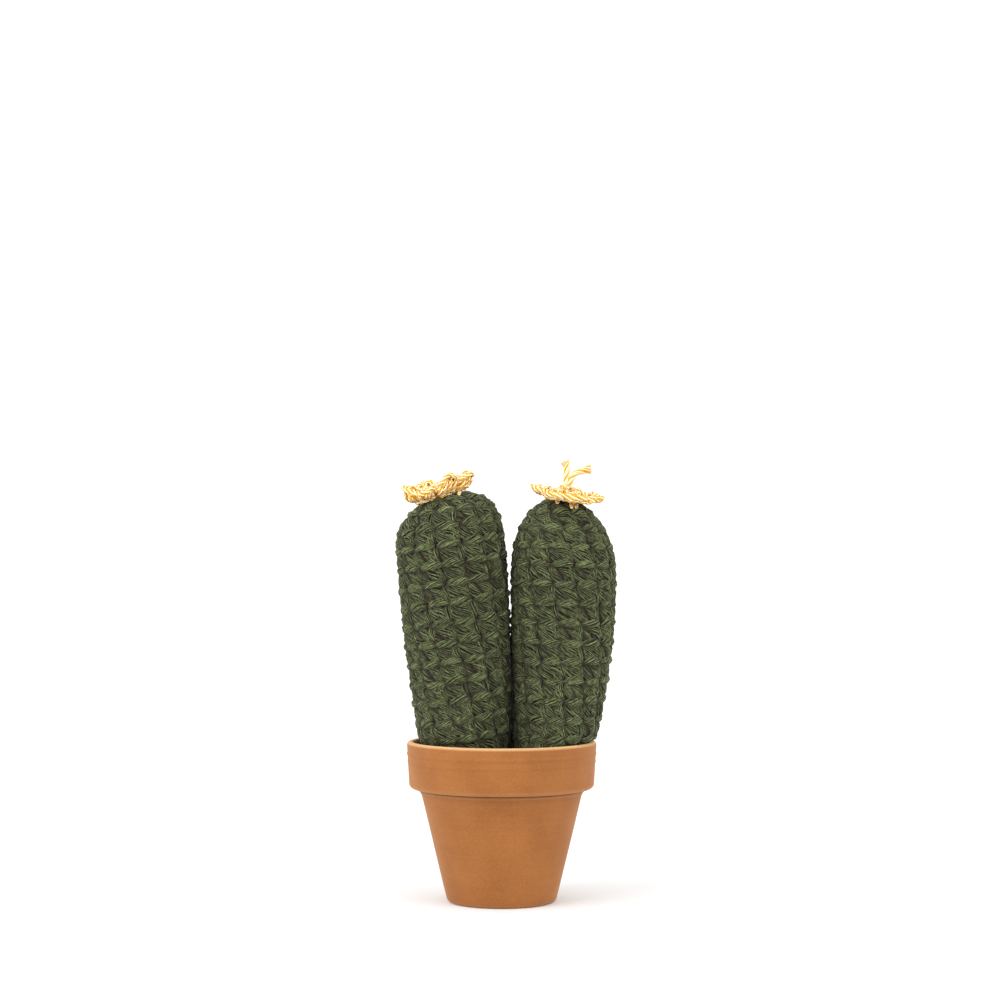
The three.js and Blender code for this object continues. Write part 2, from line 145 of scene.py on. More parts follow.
@dataclass(frozen=True)
class CottonFinish:
    """Matt cotton yarn, loosely plied from many fine strands and worked by hand.

    It has no gloss. What the eye sees is the strands: each is a fine light line that follows the
    yarn's twist. Light and shade are painted into the colour: darker on each strand's sides and
    underside, darker where a strand dives under its neighbours and lighter where it is up, and
    darkest in the holes between the loops, dark brown in the green yarn. No two strands took the
    dye alike. Marled yarn has dyed and undyed strands, twisted together.
    """

    name: str
    crest: str
    # Painted shade on the sides and undersides of the strands
    groove_shade: str
    # Painted shade deepest in the holes between the loops
    painted_shade: str
    undyed: str | None = None  # colour of the strands whose tone is over a half
    # Painted shade on the sides of the undyed strands
    undyed_groove_shade: str | None = None
    sheen: float = 0.15
    # Depths over which the painted shade of the grooves and of the holes comes in
    groove_shade_reach: tuple[float, float] = (0.0, 0.5)
    hole_shade_reach: tuple[float, float] = (0.35, 1.0)
    tones: tuple[float, float] = (0.8, 1.2)  # how the strands differ in brightness
    # Painted shade where a strand dives and painted highlight where it is up
    dive_shading: tuple[float, float] = (1.0, 1.0)  # brightness where a strand dives and where it is up
    blotches: tuple[float, float] = (0.86, 1.1)  # brightness where the dye is dark and pale

    def material(self) -> Material:
        """Build the yarn's material."""
        material, add = new_material(self.name)
        chart = add("UVMap", uv_map=YARN_MAP)
        place = add("TexCoord", output="Object")
        depth, tone = (
            add("Attribute", output="Fac", attribute_name=name, attribute_type="GEOMETRY")
            for name in (PAINTED_SHADE, TONE)
        )
        # Single cotton fibres: 0.15 mm across and some 2 mm long, as coarse as still shows.
        # A strand, 0.5 mm across, comes up and dives under its neighbours every 2 mm or so.
        # Its colour is painted lighter where it is up and darker where it dives, as highlight and
        # shade.
        fibres, dives = (
            add(
                "TexNoise",
                {
                    "Vector": add("Mapping", {"Vector": chart, "Scale": (1 / across, 1 / along, 1)}),
                    "Scale": 1.0,
                    "Detail": detail,
                },
            )
            for across, along, detail in ((0.15 * MM, 2 * MM, 2.0), (0.5 * MM, 1.6 * MM, 0.0))
        )
        # Dye and wear vary over some 5 mm
        blotches = add("TexNoise", {"Vector": place, "Scale": 1 / (5 * MM), "Detail": 3.0})
        lit, dimming, took, groove_shading, hole_shading = (
            add(
                "MapRange",
                {"Value": value, "From Min": low, "From Max": high, "To Min": least, "To Max": most},
                interpolation_type=curve,
            )
            for value, (low, high), (least, most), curve in (
                (dives, (0.3, 0.7), self.dive_shading, "LINEAR"),
                (blotches, (0.3, 0.7), self.blotches, "LINEAR"),
                (tone, (0.0, 1.0), self.tones, "LINEAR"),
                (depth, self.groove_shade_reach, (0.0, 1.0), "LINEAR"),
                (depth, self.hole_shade_reach, (0.0, 1.0), "SMOOTHSTEP"),
            )
        )
        crest, groove_shade = colour(self.crest), colour(self.groove_shade)
        if self.undyed is not None:
            picked = add("Math", {0: tone, 1: 0.5}, operation="GREATER_THAN")
            crest, groove_shade = (
                add("Mix", {MIX_FACTOR: picked, MIX_A: own, MIX_B: colour(other)}, **MIX_COLOURS)
                for own, other in ((crest, self.undyed), (groove_shade, self.undyed_groove_shade))
            )
        # Painted shade: the groove colour comes in with depth, broken up by the fibres
        ragged = add("Math", {0: fibres, 1: 0.6, 2: -0.3}, operation="MULTIPLY_ADD")
        ragged_groove_shading = add("Math", {0: groove_shading, 1: ragged}, operation="ADD", use_clamp=True)
        shade = add("Mix", {MIX_FACTOR: ragged_groove_shading, MIX_A: crest, MIX_B: groove_shade}, **MIX_COLOURS)
        # Painted shade where a strand dives and painted highlight where it is up, times the dye's
        # blotches
        dye_and_dive_shading = add("Math", {0: dimming, 1: lit}, operation="MULTIPLY")
        brightness = add("Math", {0: dye_and_dive_shading, 1: took}, operation="MULTIPLY")
        dyed = add("VectorMath", {0: shade, "Scale": brightness}, operation="SCALE")
        # Painted shade: the deepest places take the hole colour
        final = add("Mix", {MIX_FACTOR: hole_shading, MIX_A: dyed, MIX_B: colour(self.painted_shade)}, **MIX_COLOURS)
        shader = add(
            "BsdfPrincipled",
            {
                "Base Color": final,
                "Roughness": 0.92,
                "Specular IOR Level": 0.25,
                "Sheen Weight": self.sheen,
                "Sheen Roughness": 0.5,
                "Normal": add("Bump", {"Height": fibres, "Strength": 0.7, "Distance": 0.12 * MM}),
            },
        )
        add("OutputMaterial", {"Surface": shader})
        return material


@dataclass(frozen=True)
class TerracottaFinish:
    """Unglazed clay, pressed in a mould on a turning wheel, and fired.

    It is dry and matt with a sandy grain. The tools leave faint rings around it, the firing
    leaves soft clouds of lighter and darker clay, and the rounded edges are paler. The top of
    the rim is painted paler still, as painted highlight and as clay pale from rubbing.
    """

    name: str = "terracotta"
    clay: str = "9A6130"
    dark: str = "8E5729"
    light: str = "AA723C"
    # Colour where the clay is paler: along the rounded edges, and on the top of the rim as painted
    # highlight and as clay pale from rubbing
    paled: str = "D6AA78"
    dust: str = "FFDFB8"

    def material(self) -> Material:
        """Build the clay's material."""
        material, add = new_material(self.name)
        place = add("TexCoord", output="Object")
        # Tool rings: slow around the pot, 1.2 mm apart up the wall
        ring_size = (1 / (90 * MM), 1 / (90 * MM), 1 / (1.2 * MM))
        ring_place = add("Mapping", {"Vector": place, "Scale": ring_size})
        # The fire's clouds over 18 mm, the rings, and sand grains of 0.5 mm
        clouds, rings, grain = (
            add("TexNoise", {"Vector": where, "Scale": scale, "Detail": detail})
            for where, scale, detail in (
                (place, 1 / (18 * MM), 4.0),
                (ring_place, 1.0, 3.0),
                (place, 1 / (0.5 * MM), 2.0),
            )
        )
        fired, streaks, sandy = (
            add(
                "MapRange",
                {"Value": value, "From Min": low, "From Max": high, "To Min": least, "To Max": most},
            )
            for value, low, high, least, most in (
                (clouds, 0.35, 0.7, 0.0, 1.0),
                (rings, 0.45, 0.75, 0.0, 0.1),
                (grain, 0.3, 0.7, 0.84, 1.12),
            )
        )
        # Paler along the rounded edges; on the top of the rim this is painted highlight and clay pale
        # from rubbing
        paling = add("Attribute", output="Fac", attribute_name=PALENESS, attribute_type="GEOMETRY")
        shade = colour(self.dark)
        for share, over in ((fired, self.clay), (streaks, self.light), (paling, self.paled)):
            shade = add("Mix", {MIX_FACTOR: share, MIX_A: shade, MIX_B: colour(over)}, **MIX_COLOURS)
        relief = add("Math", {0: rings, 1: 0.8, 2: grain}, operation="MULTIPLY_ADD")
        shader = add(
            "BsdfPrincipled",
            {
                "Base Color": add("VectorMath", {0: shade, "Scale": sandy}, operation="SCALE"),
                "Roughness": 0.86,
                "Specular IOR Level": 0.3,
                "Sheen Weight": 0.25,
                "Sheen Roughness": 0.4,
                "Sheen Tint": colour(self.dust),
                "Normal": add("Bump", {"Height": relief, "Strength": 0.35, "Distance": 0.08 * MM}),
            },
        )
        add("OutputMaterial", {"Surface": shader})
        return material


@dataclass(frozen=True)
class FluffFinish:
    """Loose fibres in a mass: polyester fibrefill, or the dark packing in the pot.

    It has no gloss, and its surface breaks up into soft tufts and fine crossing fibres.
    """

    name: str
    light: str
    dark: str
    tuft: float

    def material(self) -> Material:
        """Build the material of the loose fibres."""
        material, add = new_material(self.name)
        place = add("TexCoord", output="Object")
        tufts = add("TexNoise", {"Vector": place, "Scale": 1 / self.tuft, "Detail": 5.0})
        shown = add("MapRange", {"Value": tufts, "From Min": 0.35, "From Max": 0.65})
        dark, light = colour(self.dark), colour(self.light)
        shader = add(
            "BsdfPrincipled",
            {
                "Base Color": add("Mix", {MIX_FACTOR: shown, MIX_A: dark, MIX_B: light}, **MIX_COLOURS),
                "Roughness": 0.95,
                "Specular IOR Level": 0.2,
                "Sheen Weight": 0.1,
                "Normal": add("Bump", {"Height": tufts, "Strength": 0.8, "Distance": 0.3 * self.tuft}),
            },
        )
        add("OutputMaterial", {"Surface": shader})
        return material


# The groove and hole colours of each yarn are painted shade
GREEN_COTTON = CottonFinish(
    name="dyed cotton yarn, dark green",
    crest="748253",
    groove_shade="2C2218",
    painted_shade="2A1D17",
    groove_shade_reach=(0.0, 0.52),
    hole_shade_reach=(0.75, 1.5),
    tones=(0.66, 1.3),
    dive_shading=(0.4, 1.3),
    blotches=(0.93, 1.06),
    sheen=0.05,
)
MARLED_COTTON = CottonFinish(
    name="marled cotton yarn, yellow and undyed",
    crest="FFBC14",
    groove_shade="FFB014",
    painted_shade="FBA51A",
    undyed="EEE1C2",
    undyed_groove_shade="FADA98",
    sheen=0.1,
    groove_shade_reach=(0.4, 1.4),
    hole_shade_reach=(1.3, 1.6),
    blotches=(0.97, 1.03),
)
# Cut and frayed, its loose fibres shade each other: the undyed strands are painted creamier and darker
# as that shade
CUT_COTTON = replace(
    MARLED_COTTON,
    name="marled cotton yarn, cut ends",
    undyed="E6D6B2",
    undyed_groove_shade="F0CE8C",
)
FIBREFILL = FluffFinish("polyester fibrefill, white", "F0EEE8", "D2CEC4", 4 * MM)
PACKING = FluffFinish("wool felt packing, dark brown", "4A3A2C", "1F1712", 2.5 * MM)


# Meshes as arrays


@dataclass
class Shell:
    """A mesh as arrays.

    Attributes:
        places: the vertices, one row each.
        corners: the vertices of all faces, one face after another.
        sizes: how many corners each face has.
        chart: for each corner, the yarn's coordinates across and along its strands, in metres.
        painted_shade: for each vertex, how much painted shade it takes: 0 on the crests of the loops
            and 1 or more in the holes.
        tone: for each vertex, how its strand took the dye, from 0 to 1. In marled yarn 1 is undyed.
    """

    places: Array
    corners: Array
    sizes: Array
    chart: Array
    painted_shade: Array
    tone: Array

    @staticmethod
    def joined(shells: Sequence["Shell"]) -> "Shell":
        """Put several shells into one.

        Args:
            shells: the shells.

        Returns:
            One shell with all their faces.
        """
        starts = np.cumsum([0] + [len(shell.places) for shell in shells[:-1]])
        corners = np.concatenate([shell.corners + start for shell, start in zip(shells, starts)])
        places, sizes, chart, painted_shade, tone = (
            np.concatenate([getattr(shell, name) for shell in shells])
            for name in ("places", "sizes", "chart", "painted_shade", "tone")
        )
        return Shell(places, corners, sizes, chart, painted_shade, tone)


def capped(rings: Array, poles: Array, chart: Array, painted_shade: Array, tone: Array) -> Shell:
    """Close tubes of rings with a pole at each end, all tubes at once.

    Args:
        rings: places of shape (tubes, rings, sides, 3), anticlockwise seen from the tube's end.
        poles: the two end places of each tube, of shape (tubes, 2, 3).
        chart: yarn coordinates of shape (tubes, rings, sides + 1, 2), the seam column twice.
        painted_shade: depth of each place, which paints its shade, of shape (tubes, rings, sides).
        tone: how each tube took the dye, from 0 to 1.

    Returns:
        The closed tubes.
    """
    tubes, rows, sides = rings.shape[:3]
    places = np.concatenate([rings.reshape(tubes, rows * sides, 3), poles], axis=1)
    depth = np.concatenate([painted_shade.reshape(tubes, rows * sides), painted_shade[:, [0, -1]].mean(axis=2)], axis=1)
    row, side = np.meshgrid(np.arange(rows - 1), np.arange(sides), indexing="ij")
    after = (side + 1) % sides
    quads = np.stack(
        [row * sides + side, row * sides + after, (row + 1) * sides + after, (row + 1) * sides + side],
        axis=-1,
    ).reshape(-1, 4)
    quad_rows = np.stack([row, row, row + 1, row + 1], axis=-1).reshape(-1, 4)
    quad_sides = np.stack([side, side + 1, side + 1, side], axis=-1).reshape(-1, 4)
    i = np.arange(sides)
    j = (i + 1) % sides
    last = (rows - 1) * sides
    foot = np.stack([np.full(sides, rows * sides), j, i], axis=-1)
    head = np.stack([np.full(sides, rows * sides + 1), last + i, last + j], axis=-1)
    starts = np.arange(tubes) * (rows * sides + 2)
    per_tube = np.concatenate([quads.ravel(), foot.ravel(), head.ravel()])
    corners = (per_tube[None, :] + starts[:, None]).ravel()
    sizes = np.tile(np.concatenate([np.full(len(quads), 4), np.full(2 * sides, 3)]), tubes)
    quad_chart = chart[:, quad_rows, quad_sides]
    middles = 0.5 * (chart[:, :, :-1] + chart[:, :, 1:])
    foot_chart = np.stack([middles[:, 0, i], chart[:, 0, i + 1], chart[:, 0, i]], axis=2)
    head_chart = np.stack([middles[:, -1, i], chart[:, -1, i], chart[:, -1, i + 1]], axis=2)
    flat = [part.reshape(tubes, -1, 2) for part in (quad_chart, foot_chart, head_chart)]
    return Shell(
        places.reshape(-1, 3),
        corners,
        sizes,
        np.concatenate(flat, axis=1).reshape(-1, 2),
        depth.ravel(),
        np.repeat(tone, rows * sides + 2),
    )


def axes(route: Array, outward: Array) -> tuple[Array, Array, Array]:
    """Find the directions along routes, to their side, and up out of the work.

    Args:
        route: middle lines of shape (tubes, rings, 3).
        outward: the side of each ring that faces away from the work, of the same shape.

    Returns:
        Three arrays of unit vectors, of the same shape.
    """
    along = unit(np.gradient(route, axis=1))
    side = unit(np.cross(outward, along))
    return along, side, np.cross(along, side)


def looked_up(way: Array, known: Array, lines: Sequence[Array]) -> list[Array]:
    """Find the places or directions of lines at other ways along them.

    Args:
        way: the ways that are wanted.
        known: the ways of the lines' own points.
        lines: arrays of shape (points, 3).

    Returns:
        For each line an array of way's shape, with x, y and z as one more axis.
    """
    return [np.stack([np.interp(way, known, line[:, k]) for k in range(3)], axis=-1) for line in lines]


def swept(
    route: Array,
    outward: Array,
    half: Array,
    below: Array,
    relief: float,
    start: Array,
    tone: Array,
    sides: int = 4,
) -> Shell:
    """Carry a circle along each route: place = route + half (cos(a) side + sin(a) up).

    Args:
        route: middle lines of shape (tubes, rings, 3).
        outward: the side of each ring that faces away from the work, of the same shape.
        half: half thickness, of shape (tubes, rings).
        below: depth of the middle line under the crests, of shape (tubes, rings).
        relief: depth from the crests to the holes, where the pit value that paints shade reaches 1.
        start: where the yarn coordinates start at each tube, in metres.
        tone: how each tube took the dye, from 0 to 1.
        sides: sides of each tube.

    Returns:
        The closed tubes with their yarn coordinates.
    """
    along, side, up = axes(route, outward)
    angle = TURN * np.arange(sides) / sides
    wide = half[..., None, None] * np.cos(angle)[None, None, :, None] * side[:, :, None]
    high = half[..., None, None] * np.sin(angle)[None, None, :, None] * up[:, :, None]
    rings = route[:, :, None] + wide + high
    reach = 0.45 * half
    poles = np.stack(
        [route[:, 0] - reach[:, :1] * along[:, 0], route[:, -1] + reach[:, -1:] * along[:, -1]],
        axis=1,
    )
    length = way_along(route)
    around = TURN * np.arange(sides + 1) / sides * half.mean(axis=1)[:, None, None]
    across = np.broadcast_to(around + start[:, None, None], length.shape + (sides + 1,))
    chart = np.stack([across, np.broadcast_to(length[..., None], across.shape)], axis=-1)
    # Depth under the crests, for the painted shade; each tube's underside gets more of it
    depth = (below[..., None] - half[..., None] * np.sin(angle)) / relief
    depth = depth + UNDERSIDE_SHADE * 0.5 * (1 - np.sin(angle))
    return capped(rings, poles, chart, np.clip(depth, 0.0, 1.6), tone)


def way_along(route: Array) -> Array:
    """Measure the way walked up to each point of each route."""
    steps = np.linalg.norm(np.diff(route, axis=1), axis=-1)
    return np.concatenate([np.zeros((len(route), 1)), np.cumsum(steps, axis=1)], axis=1)


@dataclass(frozen=True)
class Ply:
    """How strands are twisted to a yarn."""

    strands: int = 6
    strand_half: float = 0.5 * MM
    lay: float = 9 * MM  # along the yarn for one full turn of a strand
    relief: float = 2.6 * MM

    def twisted(
        self,
        route: Array,
        outward: Array,
        half: Array,
        below: Array,
        rng: np.random.Generator,
    ) -> Shell:
        """Twist strands round each route: place = route + radius (cos(b) side + sin(b) up).

        The angle b is spaced evenly over the strands and grows with the way along the route.
        Every other strand is undyed.

        Args:
            route: middle lines of shape (yarns, rings, 3).
            outward: the side of each ring that faces away from the work, of the same shape.
            half: half thickness of the yarn, of shape (yarns, rings).
            below: depth of the middle line under the crests, of shape (yarns, rings).
            rng: source of small differences.

        Returns:
            The strands as closed tubes.
        """
        _, side, up = axes(route, outward)
        each = self.strands
        first = TURN * rng.uniform(0, 1, len(route))
        even = TURN * np.arange(each) / each + rng.normal(0, 0.12, (len(route), each))
        angle = (first[:, None] + even).reshape(-1, 1)
        route, side, up, half, below = (
            np.repeat(part, each, axis=0) for part in (route, side, up, half, below)
        )
        angle = angle + TURN * way_along(route) / self.lay
        thin = half / half.max() * self.strand_half * (1 + rng.normal(0, 0.08, (len(half), 1)))
        radius = (half - thin)[..., None]
        ring = np.cos(angle)[..., None] * side + np.sin(angle)[..., None] * up
        # Strands on the yarn's underside count deeper and take more painted shade
        depth = below + (half - thin) * (1 - np.sin(angle))
        start = rng.uniform(0, CHART_SPREAD, len(half))
        dyed = np.tile(np.arange(each) % 2, len(half) // each).astype(float)
        return swept(route + radius * ring, ring, thin, depth, self.relief, start, dyed)


def closed_faces(rows: int, columns: int) -> Array:
    """List the quads of a grid that closes on itself both ways.

    Args:
        rows: rows of the grid.
        columns: columns of the grid.

    Returns:
        Four vertex numbers for each quad.
    """
    row, column = np.meshgrid(np.arange(rows), np.arange(columns), indexing="ij")
    below, beside = (row + 1) % rows, (column + 1) % columns
    quads = [row * columns + column, row * columns + beside]
    quads += [below * columns + beside, below * columns + column]
    return np.stack(quads, axis=-1).reshape(-1, 4)


def add_values(mesh: Mesh, name: str, values: Array) -> None:
    """Give each vertex of a mesh its own value of an attribute."""
    layer = mesh.attributes.new(name, "FLOAT", "POINT")
    layer.data.foreach_set("value", values.astype(np.float32))


def new_object(name: str, shell: Shell, material: Material) -> Object:
    """Put a shell into the scene as a smooth object at the origin.

    Args:
        name: the piece's name.
        shell: its mesh as arrays.
        material: its finish.

    Returns:
        The object.
    """
    mesh = bpy.data.meshes.new(name)
    mesh.vertices.add(len(shell.places))
    mesh.vertices.foreach_set("co", shell.places.astype(np.float32).ravel())
    mesh.loops.add(len(shell.corners))
    mesh.loops.foreach_set("vertex_index", shell.corners.astype(np.int32))
    mesh.polygons.add(len(shell.sizes))
    starts = np.concatenate([[0], np.cumsum(shell.sizes)[:-1]]).astype(np.int32)
    mesh.polygons.foreach_set("loop_start", starts)
    mesh.update(calc_edges=True)
    chart = mesh.uv_layers.new(name=YARN_MAP)
    chart.data.foreach_set("uv", shell.chart.astype(np.float32).ravel())
    add_values(mesh, PAINTED_SHADE, shell.painted_shade)
    add_values(mesh, TONE, shell.tone)
    mesh.polygons.foreach_set("use_smooth", np.ones(len(shell.sizes), dtype=bool))
    mesh.materials.append(material)
    mesh.update()
    piece = bpy.data.objects.new(name, mesh)
    bpy.context.scene.collection.objects.link(piece)
    return piece


def report(piece: Object) -> None:
    """Log a piece with its face count."""
    log.info("%s: %d faces", piece.name, len(piece.data.polygons))


# Stems


class Loop(Enum):
    """The four loops of yarn that show of each stitch."""

    BAR = "flat on the round, from hole to hole"
    UPRIGHT = "from a hole down to the round below"
    NEAR_SLANT = "from a hole down to the right, steeply"
    FAR_SLANT = "from under the bar down to the right"


@dataclass(frozen=True)
class LoopShape:
    """Course and thickness of one kind of loop.

    Start and end are shares of a stitch across and of a round up from the stitch's lower left
    hole. Bow pushes the middle aside by such shares.
    """

    start: tuple[float, float]
    end: tuple[float, float]
    bow: tuple[float, float]
    half_width: float
    half_height: float
    proud: float  # how far its back stands over the stem's outline
    sink: tuple[float, float]  # how much deeper it starts and ends
    point: tuple[float, float]  # how slender its ends are, from 0 to 0.5
    roll: float  # degrees that the strands turn round the loop from its start to its end
    belongs_above: bool = True  # counted by the round above it
    strands: int = 7  # side by side
    rings: int = 5


LOOPS = {
    Loop.BAR: LoopShape(
        start=(0.03, 0.02), end=(0.98, 0.04), bow=(0.0, 0.04),
        half_width=1.9 * MM, half_height=1.5 * MM, proud=0.8 * MM, sink=(1.3 * MM, 1.3 * MM),
        point=(0.1, 0.1), roll=130, belongs_above=False, strands=8,
    ),
    Loop.UPRIGHT: LoopShape(
        start=(-0.02, 0.97), end=(-0.24, 0.06), bow=(-0.05, 0.0),
        half_width=2.3 * MM, half_height=1.2 * MM, proud=0.2 * MM, sink=(1.1 * MM, 0.8 * MM),
        point=(0.16, 0.24), roll=125,
    ),
    Loop.NEAR_SLANT: LoopShape(
        start=(0.06, 0.97), end=(0.4, 0.05), bow=(-0.05, -0.02),
        half_width=2.25 * MM, half_height=1.2 * MM, proud=0.15 * MM, sink=(1.1 * MM, 0.8 * MM),
        point=(0.15, 0.25), roll=130,
    ),
    Loop.FAR_SLANT: LoopShape(
        start=(0.34, 0.97), end=(0.84, 0.06), bow=(0.06, 0.05),
        half_width=2.3 * MM, half_height=1.3 * MM, proud=0.35 * MM, sink=(0.9 * MM, 0.9 * MM),
        point=(0.2, 0.24), roll=130,
    ),
}


@dataclass(frozen=True)
class Stem:
    """A stuffed stem: an oval column with a domed top, worked in rounds of crochet.

    Sections at a height are ovals centred on y = 0. From the waist up to the shoulder the radius
    grows with the square of the height still to go, and the dome is a rounded cap.
    """

    side: str
    waist_radius: float
    shoulder_radius: float
    shoulder_z: float
    dome_height: float
    dome_power: float
    waist_x: float
    lean: float
    bow: float
    crown_shift: float
    mouth_radius: float
    mouth_depth: float
    mouth_x: float
    foot_radius: float
    foot_depth: float
    foot_x: float
    row_tilt: float
    first_turn: float
    seed: int
    foot_z: float = 40 * MM
    mouth_z: float = 66.2 * MM
    waist_z: float = 70 * MM
    first_round_z: float = 61.3 * MM
    round_height: float = 8.05 * MM
    stitch_width: float = 9.6 * MM
    slant: float = 0.12
    per_round: int = 14
    relief: float = 2.5 * MM
    contact_x: float = 1.4 * MM  # where the two stems press each other flat
    contact_straight_z: float = 115 * MM  # lower down it leans to the right
    contact_lean: float = 0.02
    contact_wave: float = 0.6 * MM  # the loops of the two stems mesh there
    ground_below: float = 0.95 * MM
    hole_deeper: float = 0.7 * MM
    hole_radius: float = 1.7 * MM
    strand_half: float = 0.33 * MM
    covered: tuple[float, float] = (14, 166)  # degrees of a loop's oval that strands lie on
    wander: float = 0.05  # how far a loop's middle strays, in stitches and rounds
    ground_grid: tuple[int, int] = (112, 150)  # places around, and rings
    stuffing_grid: tuple[int, int] = (40, 44)
    stuffing_inset: float = 4.9 * MM

    @property
    def crown_z(self) -> float:
        """Height of the dome's top."""
        return self.shoulder_z + self.dome_height

    def section(self, z: Array) -> tuple[Array, Array, Array]:
        """Find the middle's x, the half width and the half depth at each height.

        Args:
            z: heights.

        Returns:
            Three arrays of the same shape.
        """
        waist_depth = 2 * self.shoulder_radius - self.waist_radius
        low = np.clip((z - self.foot_z) / (self.mouth_z - self.foot_z), 0, 1) ** 0.85
        share = np.clip((z - self.mouth_z) / (self.waist_z - self.mouth_z), 0, 1)
        share = share * share * (3 - 2 * share)
        to_go = np.clip((self.shoulder_z - z) / (self.shoulder_z - self.waist_z), 0, 1)
        up = np.clip((z - self.shoulder_z) / self.dome_height, 0, 1)
        squeeze = (self.shoulder_radius - self.waist_radius) * to_go**2
        dome = (1 - up**self.dome_power) ** (1 / self.dome_power)
        high_x = self.waist_x + self.lean * (z - self.waist_z)
        high_x = high_x + self.bow * (1 - to_go**2) + self.crown_shift * up**2
        zones = [z < self.mouth_z, z < self.waist_z]
        parts = (
            (self.foot_x, self.mouth_x, self.waist_x, high_x),
            (
                self.foot_radius,
                self.mouth_radius,
                self.waist_radius,
                (self.shoulder_radius - squeeze) * dome,
            ),
            (self.foot_depth, self.mouth_depth, waist_depth, (self.shoulder_radius + squeeze) * dome),
        )
        return tuple(
            np.select(zones, [mix(foot, mouth, low), mix(mouth, waist, share)], high)
            for foot, mouth, waist, high in parts
        )

    def side_line(self) -> tuple[Array, Array]:
        """Walk up the stem's side from the first round.

        Returns:
            Heights, and the way walked up to each, in rounds.
        """
        share = 1 - np.linspace(0, 1, 4001)
        heights = self.crown_z - (self.crown_z - self.first_round_z) * share**2
        width = self.section(heights)[1]
        steps = np.hypot(np.diff(heights), np.diff(width))
        return heights, np.concatenate([[0], np.cumsum(steps)]) / self.round_height

    @property
    def rounds(self) -> float:
        """Number of rounds up to the crown."""
        return float(self.side_line()[1][-1])

    def surface(self, turn: Array, rounds: Array) -> Array:
        """Find places on the crests: an oval at the round's height, tilted to one side.

        Args:
            turn: shares of a full turn from +X.
            rounds: rounds up from the first.

        Returns:
            Places, with x, y and z as the last axis.
        """
        heights, walked = self.side_line()
        level = np.where(
            rounds < 0,
            self.first_round_z + rounds * self.round_height,
            np.interp(rounds, walked, heights),
        )
        fade = np.clip((walked[-1] - rounds) / 3, 0, 1) * np.clip(0.4 + rounds / 2, 0, 1)
        angle = TURN * turn
        lift = self.row_tilt * fade * self.section(level)[1] * np.cos(angle)
        z = np.minimum(level + lift, self.crown_z)
        x, width, depth = self.section(z)
        places = np.stack([x + width * np.cos(angle), depth * np.sin(angle), z], axis=-1)
        places[..., 0] = self.pressed(places, 0.0)
        return places

    def past_contact(self, places: Array) -> Array:
        """Measure how far places lie past where the two stems press each other flat.

        The stems meet on a plane that leans to the right lower down. Its small waves, a sine of
        the way along Y and of the height, let the loops of one stem mesh with the other's.

        Args:
            places: places with x, y and z as the last axis.

        Returns:
            Distances, below 0 on this stem's own side.
        """
        x, y, z = np.moveaxis(places, -1, 0)
        lower = np.maximum(self.contact_straight_z - z, 0)
        wave = np.sin(TURN * (y / (7 * MM) + 0.25 * np.sin(TURN * z / (17 * MM))))
        wave = wave * self.contact_wave * np.clip(lower / (8 * MM), 0, 1)
        contact = self.contact_x + self.contact_lean * lower + wave
        return math.copysign(1.0, self.waist_x) * (contact - x)

    def pressed(self, places: Array, clear: Array | float) -> Array:
        """Keep places over the rim on this stem's side of where the stems press each other flat.

        Args:
            places: places with x, y and z as the last axis.
            clear: how far they stay away from it.

        Returns:
            Their x, moved where they lay past it.
        """
        past = np.maximum(self.past_contact(places) + clear, 0)
        past = np.where(places[..., 2] < self.mouth_z, 0, past)
        return places[..., 0] + math.copysign(1.0, self.waist_x) * past

    def outward(self, turn: Array, rounds: Array) -> Array:
        """Find the direction straight out of the surface, by small steps along and across it."""
        near, up = 2e-3, 0.03
        rounds = np.minimum(rounds, self.rounds - 2 * up)
        across = self.surface(turn + near, rounds) - self.surface(turn - near, rounds)
        along = self.surface(turn, rounds + up) - self.surface(turn, rounds - up)
        return unit(np.cross(across, along))

    def stitches_in(self, rounds: Array) -> Array:
        """Count the stitches of each round: as many as fit, fewer towards the crown."""
        heights, walked = self.side_line()
        width = self.section(np.interp(rounds, walked, heights))[1]
        # The oval round is 1.08 times as long as a circle of its half width
        fitting = np.round(1.08 * TURN * width / self.stitch_width).astype(int)
        near_crown = rounds > self.rounds - 3.2
        return np.where(near_crown, np.clip(fitting, 5, self.per_round), self.per_round)

    def loops(self, shape: LoopShape, rng: np.random.Generator) -> Shell:
        """Make all loops of a kind, each a bundle of strands.

        A loop's middle line runs from start to end, rises and sinks, and is an oval across. Its
        strands lie side by side on the half of that oval that faces out, and turn round it.

        Args:
            shape: the kind's course and thickness.
            rng: source of the small differences between stitches and strands.

        Returns:
            The strands as closed tubes.
        """
        rows = np.arange(0, int(self.rounds - 0.3) + 1)
        counts = self.stitches_in(rows + (1 if shape.belongs_above else 0))
        stitch = np.concatenate([np.arange(count) for count in counts])
        row, count = np.repeat(rows, counts), np.repeat(counts, counts)
        loops = len(row)
        low, high, roll = np.radians([*self.covered, shape.roll])
        spacing = (high - low) / (shape.strands - 1)
        begin_angle = np.arange(low + 0.4 * spacing, high + roll, spacing)
        from_t = np.clip((begin_angle - high) / roll, 0, 1)
        to_t = np.clip((begin_angle - low) / roll, 0, 1)
        shown = to_t - from_t > 0.25
        begin_angle, from_t, to_t = begin_angle[shown], from_t[shown], to_t[shown]
        each = len(begin_angle)
        way = np.linspace(0, 1, shape.rings)[None, :]
        t = np.tile(mix(from_t[:, None], to_t[:, None], way), (loops, 1))
        row, count, stitch = (np.repeat(part, each)[:, None] for part in (row, count, stitch))
        odd = np.repeat(rng.normal(0, 1, (loops, 6)).clip(-2, 2), each, axis=0)[:, :, None]
        stray = rng.normal(0, 1, (loops * each, 5)).clip(-2, 2)[:, :, None]
        arch = np.sin(np.pi * t)
        across = mix(shape.start[0], shape.end[0], t) + (shape.bow[0] + self.wander * odd[:, 0]) * arch
